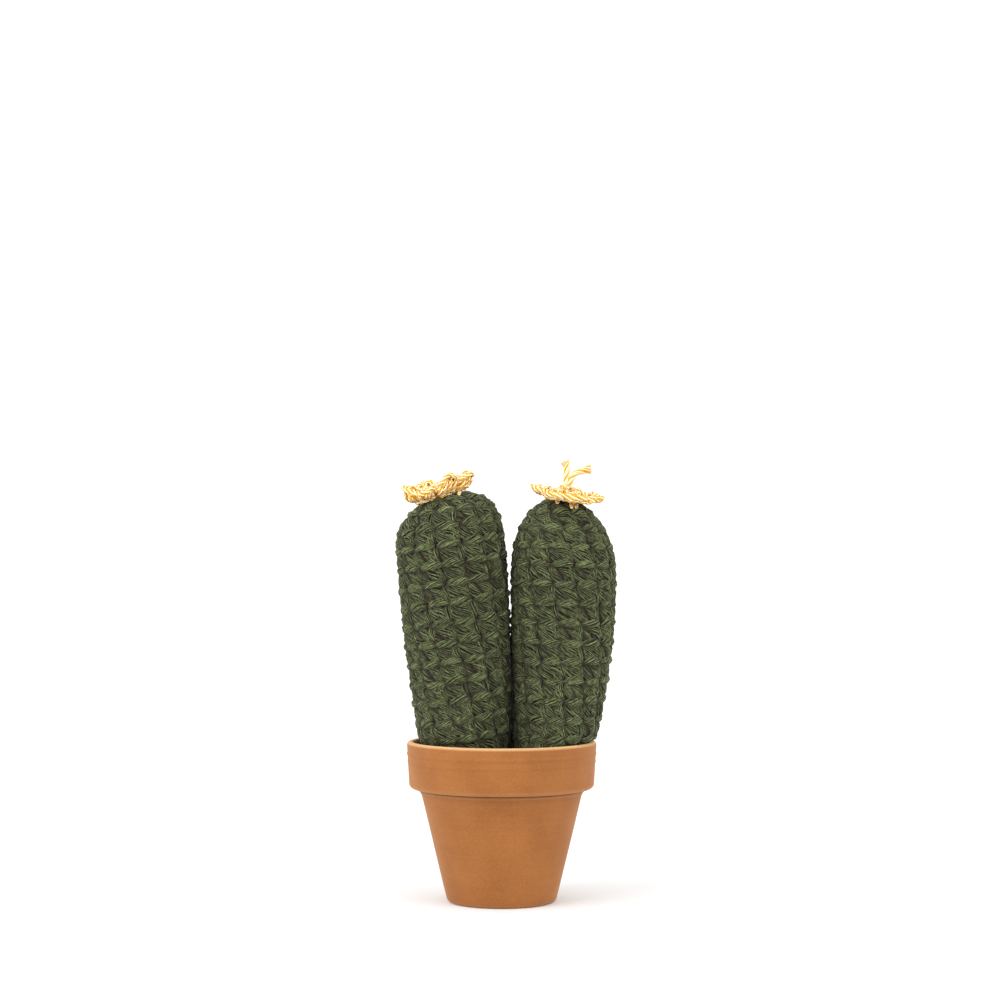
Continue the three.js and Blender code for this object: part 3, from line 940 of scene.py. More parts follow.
        along = mix(shape.start[1], shape.end[1], t) + (shape.bow[1] + self.wander * odd[:, 1]) * arch
        across = across + 0.035 * odd[:, 2]
        rounds = np.minimum(row + along, self.rounds - 0.06)
        turn = (stitch + self.first_turn + across) / count - self.slant * rounds / self.per_round
        fit = np.clip(self.section(self.surface(turn, rounds)[..., 2])[1] / (10 * MM), 0.6, 1.0)
        slim = shape.point[0] + (1 - shape.point[0] - shape.point[1]) * t
        taper = np.sin(np.pi * slim) ** 0.5 * fit
        half_width = shape.half_width * (1 + 0.1 * odd[:, 3]) * taper
        half_height = shape.half_height * (1 + 0.08 * odd[:, 4]) * taper
        sink = shape.sink[0] * np.maximum(0, 1 - 2 * t) ** 2
        sink = sink + shape.sink[1] * np.maximum(0, 2 * t - 1) ** 2
        below = half_height - shape.proud * fit + 0.18 * MM * np.abs(odd[:, 5]) + sink * fit
        outward = self.outward(turn, rounds)
        middle = self.surface(turn, rounds) - outward * below[..., None]
        _, side, up = axes(middle, outward)
        angle = np.tile(begin_angle, loops)[:, None] - roll * t
        angle = angle + 0.07 * stray[:, 0] + 0.11 * stray[:, 1] * np.sin(np.pi * way + stray[:, 2])
        half = self.strand_half * (0.7 + 0.3 * taper) * (1 + 0.1 * stray[:, 3])
        wide = half_width - 0.6 * half
        high_up = half_height - 0.9 * half + 0.1 * MM * stray[:, 4] * np.sin(np.pi * way)
        route = middle + (wide * np.cos(angle))[..., None] * side
        route = route + (high_up * np.sin(angle))[..., None] * up
        route[..., 0] = self.pressed(route, -0.5 * half)
        face = (high_up * np.cos(angle))[..., None] * side + (wide * np.sin(angle))[..., None] * up
        # Depth of each strand under the crests, for its painted shade
        depth = below - high_up * np.sin(angle)
        start = rng.uniform(0, CHART_SPREAD, len(t))
        tone = rng.uniform(0, 1, len(t))
        return swept(route, unit(face), half, depth, self.relief, start, tone)

    def skin(self, columns: int, rows: int, below: float | None = None) -> Shell:
        """Make a closed shape under the crests: rings of the same ovals.

        With no depth given it is the ground under the loops, which drops into the hole at each
        corner of a stitch by a bell curve of the distance, and comes out to the crests where the
        two stems press each other flat. Its depth paints it in the shade colours, darkest in the holes.

        Args:
            columns: places around each ring.
            rows: rings from the foot to the crown.
            below: depth under the crests, or nothing for the ground.

        Returns:
            The closed shape.
        """
        lowest = (self.foot_z - self.first_round_z) / self.round_height
        share = np.linspace(0, 1, rows)
        rounds = mix(lowest, self.rounds - 0.12, share)[:, None]
        turn = (np.arange(columns) / columns)[None, :]
        rounds, turn = np.broadcast_arrays(rounds, turn)
        if below is None:
            count = self.stitches_in(np.round(rounds))
            place = turn * count + self.slant * rounds * count / self.per_round - self.first_turn
            beside = (place - np.round(place)) * self.stitch_width
            above = (rounds - np.round(rounds)) * self.round_height
            far = np.hypot(beside, above) / self.hole_radius
            depth = self.ground_below + self.hole_deeper * np.exp(-(far**2)) * (rounds > -0.5)
            crests = self.surface(turn, rounds)
            narrow = np.clip(self.section(crests[..., 2])[1] / (15 * MM), 0.3, 1)
            apart = np.clip(-self.past_contact(crests) / (2.5 * MM), 0, 1)
            low_down = np.clip((self.contact_straight_z - crests[..., 2]) / (8 * MM), 0, 1)
            depth = mix(depth * narrow, -0.2 * MM, low_down * (1 - apart))
        else:
            depth = np.full_like(rounds, below)
        rings = self.surface(turn, rounds) - depth[..., None] * self.outward(turn, rounds)
        rings[..., 0] = self.pressed(rings, -0.4 * MM)
        rings[..., 2] = np.maximum(rings[..., 2], self.foot_z)
        middle = rings.mean(axis=1)
        poles = np.stack([middle[0], middle[-1] + [0, 0, 0.1 * MM]])
        width = TURN * self.shoulder_radius
        across = width * np.arange(columns + 1) / columns
        up = self.round_height * mix(lowest, self.rounds, share)
        chart = np.stack(np.broadcast_arrays(across[None, :], up[:, None]), axis=-1)
        # Painted shade: the whole ground takes the groove colour, and the hole colour deeper down; its
        # low tone dims it too
        painted_shade = np.clip(0.2 + np.maximum(depth, self.ground_below) / self.relief, 0, 1.5)
        return capped(rings[None], poles[None], chart[None], painted_shade[None], np.array([0.3]))

    def build_cover(self, material: Material) -> list[Object]:
        """Build the crocheted cover: the ground under the loops, and each kind of loop.

        Args:
            material: the yarn's finish.

        Returns:
            The pieces, with the ground first.
        """
        rng = np.random.default_rng(self.seed)
        parts = {"ground": self.skin(*self.ground_grid)}
        parts |= {kind.name.lower(): self.loops(shape, rng) for kind, shape in LOOPS.items()}
        pieces = []
        for name, shell in parts.items():
            piece = new_object(f"{self.side}_stem_{name}", shell, material)
            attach(piece, BODY)
            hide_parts(f"{self.side}_stem_cover")
            pieces.append(piece)
        return pieces

    def build_stuffing(self, material: Material) -> Object:
        """Build the stuffing: the stem's shape inside its cover, with soft lumps."""
        shell = self.skin(*self.stuffing_grid, self.stuffing_inset)
        rng = np.random.default_rng(self.seed + 50)
        waves = rng.uniform(150, 420, (6, 3)) * rng.choice([-1, 1], (6, 3))
        phase = rng.uniform(0, TURN, 6)
        lumps = np.sin(shell.places @ waves.T + phase).mean(axis=1)
        middle_x = self.section(shell.places[:, 2])[0]
        inward = shell.places[:, :2] - np.stack([middle_x, np.zeros_like(middle_x)], axis=1)
        inward = unit(inward) * np.minimum(1, np.linalg.norm(inward, axis=1) / MM)[:, None]
        shell.places[:, :2] -= inward * (0.5 + 0.5 * lumps)[:, None] * MM
        piece = new_object(f"{self.side}_stem_fill", shell, material)
        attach(piece, BODY)
        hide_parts(f"{self.side}_stem_stuffing")
        return piece

    def crown_height(self, x: Array, y: Array) -> Array:
        """Find the dome's height at places seen from above, far below where it isn't under them.

        Args:
            x: places along X.
            y: places along Y.

        Returns:
            Heights of the same shape.
        """
        z = self.shoulder_z + self.dome_height * (1 - np.linspace(0, 1, 241) ** 2)
        middle, width, depth = self.section(z)
        width, depth = np.maximum(width, 1e-6), np.maximum(depth, 1e-6)
        inside = np.hypot((x[..., None] - middle) / width, y[..., None] / depth) <= 1
        return np.where(inside.any(axis=-1), z[inside.argmax(axis=-1)], -1.0)


LEFT_STEM = Stem(
    side="left",
    waist_radius=20.1 * MM,
    shoulder_radius=23.3 * MM,
    shoulder_z=148 * MM,
    dome_height=24.2 * MM,
    dome_power=2.15,
    waist_x=-17.5 * MM,
    lean=-0.0775,
    bow=0.0,
    crown_shift=7 * MM,
    mouth_radius=19.1 * MM,
    mouth_depth=25 * MM,
    mouth_x=-16.9 * MM,
    foot_radius=12.5 * MM,
    foot_depth=20 * MM,
    foot_x=-14.6 * MM,
    row_tilt=0.165,
    first_turn=0.3,
    seed=11,
)
RIGHT_STEM = Stem(
    side="right",
    waist_radius=18.1 * MM,
    shoulder_radius=22.3 * MM,
    shoulder_z=138 * MM,
    dome_height=32 * MM,
    dome_power=2.0,
    waist_x=20.4 * MM,
    lean=0.0,
    bow=3.7 * MM,
    crown_shift=-2 * MM,
    mouth_radius=16 * MM,
    mouth_depth=26.5 * MM,
    mouth_x=18.6 * MM,
    foot_radius=11.6 * MM,
    foot_depth=20 * MM,
    foot_x=12 * MM,
    row_tilt=-0.02,
    first_turn=0.1,
    seed=23,
)


# Flowers


@dataclass(frozen=True)
class Flower:
    """A crocheted flower: petals of radial posts round a ring, with a chain along the edge.

    The underside slopes to one side, and each petal turns up late and steeply towards its tip,
    which is lifted over that plane. The flower rests on the stem's dome.
    """

    side: str
    stem: Stem
    x: float
    z: float
    reach: float
    slope: float
    turn_off: float  # where the first petal points, in shares of a full turn from +X
    lift: tuple[float, ...]  # of each petal's tip, anticlockwise from the first
    swing: tuple[float, ...]  # how far each petal is turned out of its even place, in degrees
    sewn: tuple[tuple[float, float], ...]  # x and z of the stitches that sew it to the stem's front
    seed: int
    seat: float = 0.45 * MM
    notch: float = 0.62  # radius between two petals as a share of the reach
    notch_lift: float = 0.5  # lift between two petals as a share of theirs
    roundness: float = 0.75
    spread: float = 2.0  # how soon the petal reaches its full radius
    cupping: float = 3.6  # how late it turns up
    wall: float = 3.4 * MM
    chain_step: float = 3.7 * MM
    chain_half: float = 1.25 * MM
    chain_spread: float = 1.35 * MM
    post_half: float = 1.2 * MM
    posts: int = 4
    sewing_half: float = 0.65 * MM
    edge_points: int = 721  # points on the line that a chain follows
    chain_rings: int = 7
    post_rings: int = 8
    sewing_rings: int = 13
    web_columns: int = 96
    web_shares: tuple[float, ...] = (0.1, 0.3, 0.55, 0.8, 0.93)  # of the way out
    web_half: float = 0.6 * MM
    yarn: Ply = Ply()
    sewing_yarn: Ply = Ply(strands=6, strand_half=0.3 * MM, lay=6 * MM)

    @property
    def petals(self) -> int:
        """Number of petals."""
        return len(self.lift)

    def underside(self, turn: Array, share: Array) -> Array:
        """Find places on the underside.

        The edge's radius follows a cosine over each petal. With u the share of the way out, the
        radius is the edge's times 1 - (1 - u) to a power, and the height is the sloping plane
        plus the petal's lift times u to a power, but never below the dome.

        Args:
            turn: shares of a full turn from the first petal.
            share: shares of the way from the middle to the edge.

        Returns:
            Places, with x, y and z as the last axis.
        """
        turn, share = np.broadcast_arrays(turn, share)
        petal = np.round(turn * self.petals)
        offset = turn * self.petals - petal
        scallop = np.maximum(np.cos(np.pi * offset), 0) ** self.roundness
        edge = self.reach * (self.notch + (1 - self.notch) * scallop)
        radius = edge * (1 - np.maximum(1 - share, 0) ** self.spread)
        own = petal.astype(int) % self.petals
        beside = (petal + np.sign(offset)).astype(int) % self.petals
        lift, swing = (
            mix(values[own], values[beside], np.abs(offset))
            for values in (np.array(self.lift), np.radians(self.swing))
        )
        lift = lift * mix(self.notch_lift, 1.0, scallop)
        angle = TURN * (turn + self.turn_off) + swing
        x = self.x + radius * np.cos(angle)
        y = radius * np.sin(angle)
        z = self.z + self.slope * (x - self.x) + lift * np.maximum(share, 0) ** self.cupping
        z = np.maximum(z, self.stem.crown_height(x, y) + self.seat)
        return np.stack([x, y, z], axis=-1)

    def upward(self, turn: Array, share: Array) -> Array:
        """Find the direction straight up out of the flower, by small steps along and across it."""
        turn, share = np.broadcast_arrays(turn, share)
        share = np.clip(share, 0.06, 0.97)
        around = self.underside(turn + 4e-3, share) - self.underside(turn - 4e-3, share)
        out = self.underside(turn, share + 0.03) - self.underside(turn, share - 0.03)
        return unit(np.cross(out, around))

    def chain(self, share: float, above: float, size: float, rng: np.random.Generator) -> Shell:
        """Make a chain round the flower: pairs of loops that part and meet again, like a braid.

        Args:
            share: share of the way out that it follows.
            above: height of its middle over the underside.
            size: its thickness as a share of the edge chain's.
            rng: source of small differences.

        Returns:
            The chain's loops as closed tubes.
        """
        fine = np.linspace(0, 1, self.edge_points)
        line = self.underside(fine, share)
        up = self.upward(fine, share)
        line = line + up * above
        along = unit(np.gradient(line, axis=0))
        out = unit(np.cross(along, up))
        up = np.cross(out, along)
        steps = np.linalg.norm(np.diff(line, axis=0), axis=1)
        walked = np.concatenate([[0], np.cumsum(steps)])
        count = int(round(walked[-1] / (self.chain_step * size)))
        t = np.linspace(0, 1, self.chain_rings)[None, :]
        side = np.repeat([1.0, -1.0], count)[:, None]
        begin = np.tile(np.arange(count), 2)[:, None] * walked[-1] / count
        begin = begin + rng.normal(0, 0.2 * MM, (2 * count, 1))
        length = walked[-1] / count
        way = (begin + length * (-0.25 + 1.5 * t)) % walked[-1]
        spread = size * self.chain_spread * (0.1 + 1.0 * np.sin(np.pi * t**0.8)) * side
        proud = size * (0.8 * MM * np.sin(np.pi * t) - 0.5 * MM)
        proud = proud + rng.normal(0, 0.12 * MM, (2 * count, 1))
        base, over, beyond = looked_up(way, walked, (line, up, out))
        route = base + over * spread[..., None] + beyond * proud[..., None]
        outward = unit(beyond + 0.6 * side[..., None] * over)
        half = size * self.chain_half * np.sin(np.pi * (0.14 + 0.72 * t)) ** 0.4
        half = half * (1 + rng.normal(0, 0.06, (2 * count, 1)))
        below = np.maximum(0.5 * MM - proud, 0) * np.ones_like(half)
        return self.yarn.twisted(route, outward, half, below, rng)

    def rays(
        self, above: float, shares: tuple[float, float], turn_off: float, rng: np.random.Generator
    ) -> Shell:
        """Make the radial stitches of each petal: they fan out from the ring to the edge.

        Args:
            above: height of their middle over the underside.
            shares: where they start and end on the way out.
            turn_off: sideways shift, in stitches.
            rng: source of small differences.

        Returns:
            The stitches as closed tubes.
        """
        t = np.linspace(0, 1, self.post_rings)[None, :]
        petal = np.repeat(np.arange(self.petals), self.posts)[:, None]
        place = np.tile(np.arange(self.posts), self.petals)[:, None]
        place = place - (self.posts - 1) / 2 + turn_off
        fan = 0.82 * place / self.posts * np.ones_like(t)
        turn = (petal + fan + rng.normal(0, 0.015, petal.shape)) / self.petals
        share = mix(shares[0], shares[1], t) * np.ones_like(turn)
        up = self.upward(turn, share)
        height = above + 0.2 * MM * np.sin(np.pi * t) + rng.normal(0, 0.12 * MM, petal.shape)
        route = self.underside(turn, share) + up * height[..., None]
        thick = self.post_half * np.sin(np.pi * (0.15 + 0.7 * t)) ** 0.4
        thick = thick * (1 + rng.normal(0, 0.06, petal.shape))
        below = np.full_like(thick, 0.3 * MM)
        return self.yarn.twisted(route, up, thick, below, rng)

    def sewing(self, rng: np.random.Generator) -> Shell:
        """Make the stitches that sew the flower on: narrow loops that hang down over the dome.

        Each loop's height is its lowest place plus its length times (2 t - 1) squared.

        Args:
            rng: source of small differences.

        Returns:
            The loops as closed tubes.
        """
        t = np.linspace(0, 1, self.sewing_rings)[None, :]
        x, z = (np.array(self.sewn)[:, k : k + 1] for k in range(2))
        x = x + 1.5 * MM * (t - 0.5)
        z = np.minimum(z + 3.6 * MM * (2 * t - 1) ** 2, self.stem.crown_z - 0.5 * MM)
        middle, width, depth = self.stem.section(z)
        across = np.clip(1 - ((x - middle) / width) ** 2, 0, 1)
        y = -depth * np.sqrt(across) - 0.3 * MM
        route = np.stack([x, y, z], axis=-1)
        outward = unit(route - np.stack([middle, 0 * y, z - 0.7 * depth], axis=-1))
        half = np.full_like(x, self.sewing_half)
        return self.sewing_yarn.twisted(route, outward, half, 0 * half, rng)

    def web(self, thickness: tuple[float, float]) -> Shell:
        """Make the thin closed sheet between the stitches.

        Args:
            thickness: heights of its two faces over the underside.

        Returns:
            The closed sheet.
        """
        columns = self.web_columns
        turn = np.arange(columns) / columns
        shares = np.array(self.web_shares + self.web_shares[::-1])
        above = np.repeat(thickness, len(self.web_shares))[:, None, None]
        rings = self.underside(turn, shares[:, None]) + self.upward(turn, shares[:, None]) * above
        middle = self.underside(np.array(0.0), np.array(0.0))
        poles = np.stack([middle + [0, 0, level] for level in thickness])
        length = TURN * self.reach
        across = length * np.arange(columns + 1) / columns
        out = self.reach * shares
        chart = np.stack(np.broadcast_arrays(across[None, :], out[:, None]), axis=-1)
        # Painted shade: the whole sheet takes part of the groove colour, as the shade in the gaps it
        # fills, and its tone makes it dyed and dimmest
        painted_shade = np.full((1, len(shares), columns), 0.85)
        return capped(rings[None], poles[None], chart[None], painted_shade, np.array([0.0]))

    def build(self, material: Material) -> Object:
        """Build the flower: its web, two layers of posts, three chains and the sewing."""
        rng = np.random.default_rng(self.seed)
        middle = self.wall / 2
        shells = [
            self.web((middle - self.web_half, middle + self.web_half)),
            self.rays(middle - 0.9 * MM, (0.2, 0.97), 0.0, rng),
            self.rays(middle + 0.7 * MM, (0.08, 0.95), 0.4, rng),
            self.chain(0.36, 0.9 * MM, 0.85, rng),
            self.chain(0.12, self.wall - 0.4 * MM, 0.8, rng),
            self.chain(0.99, middle, 1.0, rng),
            self.sewing(rng),
        ]
        piece = new_object(f"{self.side}_flower_crochet", Shell.joined(shells), material)
        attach(piece, BODY)
        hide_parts(f"{self.side}_flower")
        return piece


LEFT_FLOWER = Flower(
    side="left",
    stem=LEFT_STEM,
    x=-28.9 * MM,
    z=169.7 * MM,
    reach=14.9 * MM,
    slope=0.25,
    turn_off=-12 / 360,
    lift=tuple(height * MM for height in (6.8, 5.0, 8.6, 8.0, 2.2, 7.4)),
    swing=(6, 0, 6, 10, 20, 0),
    sewn=((-19.9 * MM, 170.6 * MM),),
    seed=5,
)
RIGHT_FLOWER = Flower(
    side="right",
    stem=RIGHT_STEM,
    x=26 * MM,
    z=168.9 * MM,
    reach=15.2 * MM,
    slope=-0.13,
    turn_off=0.0,
    lift=tuple(height * MM for height in (2.6, 2.0, 2.2, 3.6, -0.6, -0.6)),
    swing=(0, 0, 0, 0, 0, 0),
    sewn=((21.4 * MM, 167.0 * MM), (27.3 * MM, 165.0 * MM), (29.2 * MM, 164.8 * MM)),
    seed=7,
)


@dataclass(frozen=True)
class TieYarn:
    """The two cut ends of yarn that stand up from a flower: strands twisted round each other.

    Near the tip the twist opens and the strands spread into a brush.
    """

    flower: Flower
    thickness: float = 3.4 * MM
    strands: int = 9
    bundle: float = 0.85 * MM
    strand_half: float = 0.46 * MM
    brush: float = 2.2 * MM
    turns: float = 1.1
    rings: int = 22
    fine_each: int = 5  # fine fibres for each strand
    fine_half: float = 0.16 * MM
    opens: float = 0.66  # share of the way where the twist starts to open
    routes: tuple = (
        ((-0.5, 0, -1.5), (-0.6, 0, 2), (-0.6, 0.1, 4.4), (-0.5, 0.2, 8), (-0.9, 0.4, 11.4)),
        ((0.7, -0.2, -1.5), (0.9, -0.3, 2), (1.7, -0.5, 4.6), (4.2, -0.8, 7.1), (9.4, -1.2, 8.3)),
    )
    seed: int = 3

    def middle_line(self, route: Sequence[Sequence[float]]) -> Array:
        """Draw a smooth line through the route's points, by cubics between them.

        Args:
            route: points from the middle of the flower's top, in millimetres.

        Returns:
            Places along the line.
        """
        points = np.array(route, dtype=float) * MM
        first_more, last_more = 2 * points[:1] - points[1:2], 2 * points[-1:] - points[-2:-1]
        padded = np.concatenate([first_more, points, last_more])
        way = np.linspace(0, len(points) - 1 - 1e-9, self.rings)
        k = way.astype(int)
        t = (way - k)[:, None]
        before, first, second, after = (padded[k + j] for j in range(4))
        bend = 2 * before - 5 * first + 4 * second - after
        tail = -before + 3 * first - 3 * second + after
        line = first + 0.5 * t * (second - before + t * (bend + t * tail))
        middle = self.flower.underside(np.array(0.0), np.array(0.0))
        return line + middle + [0, 0, self.thickness]

    def strands_of(
        self, route: Sequence[Sequence[float]], rng: np.random.Generator, fine: bool
    ) -> Shell:
        """Make the strands: place = middle line + radius (cos b, sin b), with b growing along it.

        Args:
            route: the end's points.
            rng: source of small differences.
            fine: whether these are the thin fibres of the brush.

        Returns:
            The strands as closed tubes.
        """
        line = self.middle_line(route)
        along = unit(np.gradient(line, axis=0))
        side = unit(np.cross(along, np.array([0.0, 1.0, 0.0])))
        up = np.cross(along, side)
        count = self.strands * (self.fine_each if fine else 1)
        t = np.linspace(0, 1, self.rings)[None, :]
        begin = 0.7 if fine else 0.0
        way = np.repeat(begin + (1 - begin) * t, count, axis=0)
        start = TURN * (np.arange(count) / count)[:, None] + rng.normal(0, 0.2, (count, 1))
        spin = start + TURN * self.turns * way
        open_up = np.clip((way - self.opens) / (1 - self.opens), 0, 1) ** 1.2
        reach = rng.uniform(0.15 if fine else 0.5, 1.0, (count, 1))
        radius = mix(self.bundle, self.brush * reach, open_up)
        longer = rng.uniform(-0.7, 0.9, (count, 1)) * MM * open_up**2
        middle, first, second, on = looked_up(way, t[0], (line, side, up, along))
        ring = first * np.cos(spin)[..., None] + second * np.sin(spin)[..., None]
        path = middle + ring * radius[..., None] + on * longer[..., None]
        half, tip = (self.fine_half, 0.6) if fine else (self.strand_half, 0.45)
        thick = half * mix(1.0, tip, open_up)
        below = np.full_like(thick, 0.1 * MM)
        start = rng.uniform(0, CHART_SPREAD, count)
        undyed = np.minimum(np.arange(count) % 3, 1).astype(float)
        return swept(path, ring, thick, below, 2.4 * MM, start, undyed, sides=5)

    def build(self, material: Material) -> Object:
        """Build both ends with their brushes."""
        rng = np.random.default_rng(self.seed)
        shells = [self.strands_of(route, rng, fine) for route in self.routes for fine in (False, True)]
        piece = new_object("tie_yarn_ends", Shell.joined(shells), material)
        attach(piece, BODY)
        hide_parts("right_flower_tie_yarn")
        return piece


# Pot


@dataclass(frozen=True)
class Pot:
    """A clay pot: a straight flaring wall, a bead, and a wide band round the rim."""

    axis_x: float = -2 * MM
    height: float = 67 * MM
    base_radius: float = 22.85 * MM
    wall_slope: float = 0.244
    foot_round: float = 2 * MM
    bead_z: float = 46.35 * MM
    bead_half: float = 0.75 * MM
    band_z: float = 47.3 * MM
    band_low_radius: float = 39 * MM
    band_top_radius: float = 40 * MM
    band_round: float = 2.1 * MM
    lip_outer_round: float = 1.4 * MM
    lip_inner_radius: float = 37.3 * MM
    lip_inner_round: float = 0.8 * MM
    floor_z: float = 4.5 * MM
    floor_radius: float = 19.9 * MM
    floor_round: float = 1.2 * MM
    neck: tuple[float, float] = (30.8 * MM, 45 * MM)
    step: tuple[float, float] = (33.4 * MM, 50 * MM)
    drain_radius: float = 6 * MM
    drain_round: float = 0.8 * MM
    press_rings: tuple = ((61.9 * MM, 0.26 * MM), (58.6 * MM, 0.16 * MM))  # height and relief
    press_width: float = 0.5 * MM
    columns: int = 192

    @staticmethod
    def arc(out: float, up: float, radius: float, start: float, end: float, steps: int) -> Array:
        """Draw part of a circle in the profile.

        Args:
            out: its centre's radius from the pot's axis.
            up: its centre's height.
            radius: the circle's radius.
            start: first angle in degrees.
            end: last angle in degrees.
            steps: steps between them.

        Returns:
            Places as radius, height and how much paler the clay is there.
        """
        angle = np.radians(np.linspace(start, end, steps + 1))
        # Each rounded edge is a little paler towards its middle
        paleness = np.sin(np.linspace(0, np.pi, steps + 1)) * 0.12
        return np.stack([out + radius * np.cos(angle), up + radius * np.sin(angle), paleness], axis=1)

    @staticmethod
    def straight(start: tuple[float, float], end: tuple[float, float], steps: int) -> Array:
        """Draw the inner places of a straight line in the profile, without its two ends."""
        share = (np.arange(1, steps) / steps)[:, None]
        line = mix(np.array(start), np.array(end), share)
        return np.concatenate([line, np.zeros((len(line), 1))], axis=1)

    def wall_radius(self, z: float) -> float:
        """Find the outer wall's radius at a height."""
        return self.base_radius + self.wall_slope * z

    def profile(self) -> Array:
        """Draw the pot's section, from the drain hole out, up, over the rim and back inside."""
        foot_r, band_r, floor_r = self.foot_round, self.band_round, self.floor_round
        out_r, in_r, drain_r = self.lip_outer_round, self.lip_inner_round, self.drain_round
        under_bead = self.bead_z - self.bead_half
        low = (self.wall_radius(under_bead), under_bead)
        crease = np.array([[self.wall_radius(self.band_z) + 0.15 * MM, self.band_z, 0.0]])
        foot, bead, band, lip_out, lip_in, floor, drain_top, drain_low = (
            self.arc(*values)
            for values in (
                (self.base_radius - 0.8 * foot_r, foot_r, foot_r, -90, -12, 8),
                (self.wall_radius(self.bead_z) - 0.1 * MM, self.bead_z, self.bead_half, -72, 78, 8),
                (self.band_low_radius - band_r, self.band_z + band_r, band_r, -90, 0, 9),
                (self.band_top_radius - out_r, self.height - out_r, out_r, 0, 90, 10),
                (self.lip_inner_radius + in_r, self.height - in_r, in_r, 90, 180, 6),
                (self.floor_radius - floor_r, self.floor_z + floor_r, floor_r, 0, -90, 4),
                (self.drain_radius + drain_r, self.floor_z - drain_r, drain_r, 90, 180, 4),
                (self.drain_radius + drain_r, drain_r, drain_r, 180, 270, 4),
            )
        )
        ends = [part[[0, -1], :2] for part in (foot, bead, band, lip_out, lip_in, floor)]
        parts = [
            drain_low,
            foot,
            self.straight(ends[0][1], low, 30),
            bead,
            crease,
            band,
            self.straight(ends[2][1], ends[3][0], 32),
            lip_out,
            lip_in,
            self.straight(ends[4][1], self.step, 14),
            np.array([[*self.step, 0.0]]),
            self.straight(self.step, self.neck, 3),
            np.array([[*self.neck, 0.0]]),
            self.straight(self.neck, ends[5][0], 14),
            floor,
            drain_top,
        ]
        return np.concatenate(parts)

    def build(self, material: Material) -> Object:
        """Build the pot: the section turned about its axis, with faint press rings and waves."""
        radius, z, paleness = self.profile().T
        on_band = (radius > self.band_low_radius - 1 * MM) & (z < self.height - 1.5 * MM)
        for level, height in self.press_rings:
            radius = radius + on_band * height * np.exp(-(((z - level) / self.press_width) ** 2))
        angle = TURN * np.arange(self.columns) / self.columns
        # Pressed clay isn't quite round: two broad waves and five faint ones around it
        waves = 0.06 * MM * np.sin(2 * angle[None, :] + z[:, None] * 60 + 0.6)
        waves = waves + 0.03 * MM * np.sin(5 * angle[None, :] - z[:, None] * 150)
        waves = waves * np.clip(z / (4 * MM), 0, 1)[:, None]
        around = radius[:, None] + waves
        # The top of the rim is painted much paler: painted highlight on its upward face, and clay pale
        # from rubbing
        lip_highlight_and_rub = np.clip((z - (self.height - 1.2 * MM)) / (0.9 * MM), 0, 1) * 0.8
        paled = np.maximum(paleness, lip_highlight_and_rub)
        places = np.stack(
            [
                self.axis_x + around * np.cos(angle),
                around * np.sin(angle),
                np.broadcast_to(z[:, None], around.shape),
            ],
            axis=-1,
        )
        faces = closed_faces(len(radius), self.columns)[:, ::-1]
        shell = Shell(
            places.reshape(-1, 3),
            faces.ravel(),
            np.full(len(faces), 4),
            np.zeros((faces.size, 2)),
            np.zeros(around.size),
            np.zeros(around.size),
        )
        piece = new_object("terracotta_pot", shell, material)
        add_values(piece.data, PALENESS, np.repeat(paled, self.columns))
        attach(piece, BODY)
        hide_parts("pot")
        return piece


@dataclass(frozen=True)
class Packing:
    """The packing that holds the stems in the pot: a copy of its solid, remeshed and tufted."""

    voxel: float = 1.1 * MM
    tuft: float = 0.28 * MM
    seed: int = 17

    def build(self, material: Material) -> Object:
        """Build the packing: places move inwards by a sum of sines."""
        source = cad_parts["pot_filling"]
        mesh = source.data.copy()
        mesh.name = "pot_packing"
        mesh.materials.clear()
        piece = bpy.data.objects.new("pot_packing", mesh)
        bpy.context.scene.collection.objects.link(piece)
        weld = piece.modifiers.new("weld", "WELD")
        weld.merge_threshold = 0.01 * MM
        remesh = piece.modifiers.new("remesh", "REMESH")
        remesh.mode = "VOXEL"
        remesh.voxel_size = self.voxel
        remesh.use_smooth_shade = True
        evaluated = piece.evaluated_get(bpy.context.evaluated_depsgraph_get())
        piece.data = bpy.data.meshes.new_from_object(evaluated)
        piece.modifiers.clear()
        done = piece.data
        done.materials.clear()
        done.materials.append(material)
        places = np.empty(len(done.vertices) * 3, dtype=np.float32)
        done.vertices.foreach_get("co", places)
        normals = np.empty_like(places)
        done.vertices.foreach_get("normal", normals)
        places, normals = places.reshape(-1, 3), normals.reshape(-1, 3)
        rng = np.random.default_rng(self.seed)
        waves = rng.normal(0, 1, (24, 3))
        waves = unit(waves) * rng.uniform(500, 1900, (24, 1))
        tufts = np.sin(places @ waves.T + rng.uniform(0, TURN, 24)).sum(axis=1) / math.sqrt(12)
        depth = self.tuft * (0.6 + 0.5 * np.clip(tufts, -1.2, 1.2))
        places = places - normals * np.maximum(depth, 0)[:, None]
        done.vertices.foreach_set("co", places.astype(np.float32).ravel())
        done.update()
        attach(piece, BODY)
        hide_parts("pot_filling")
        return piece


# Studio


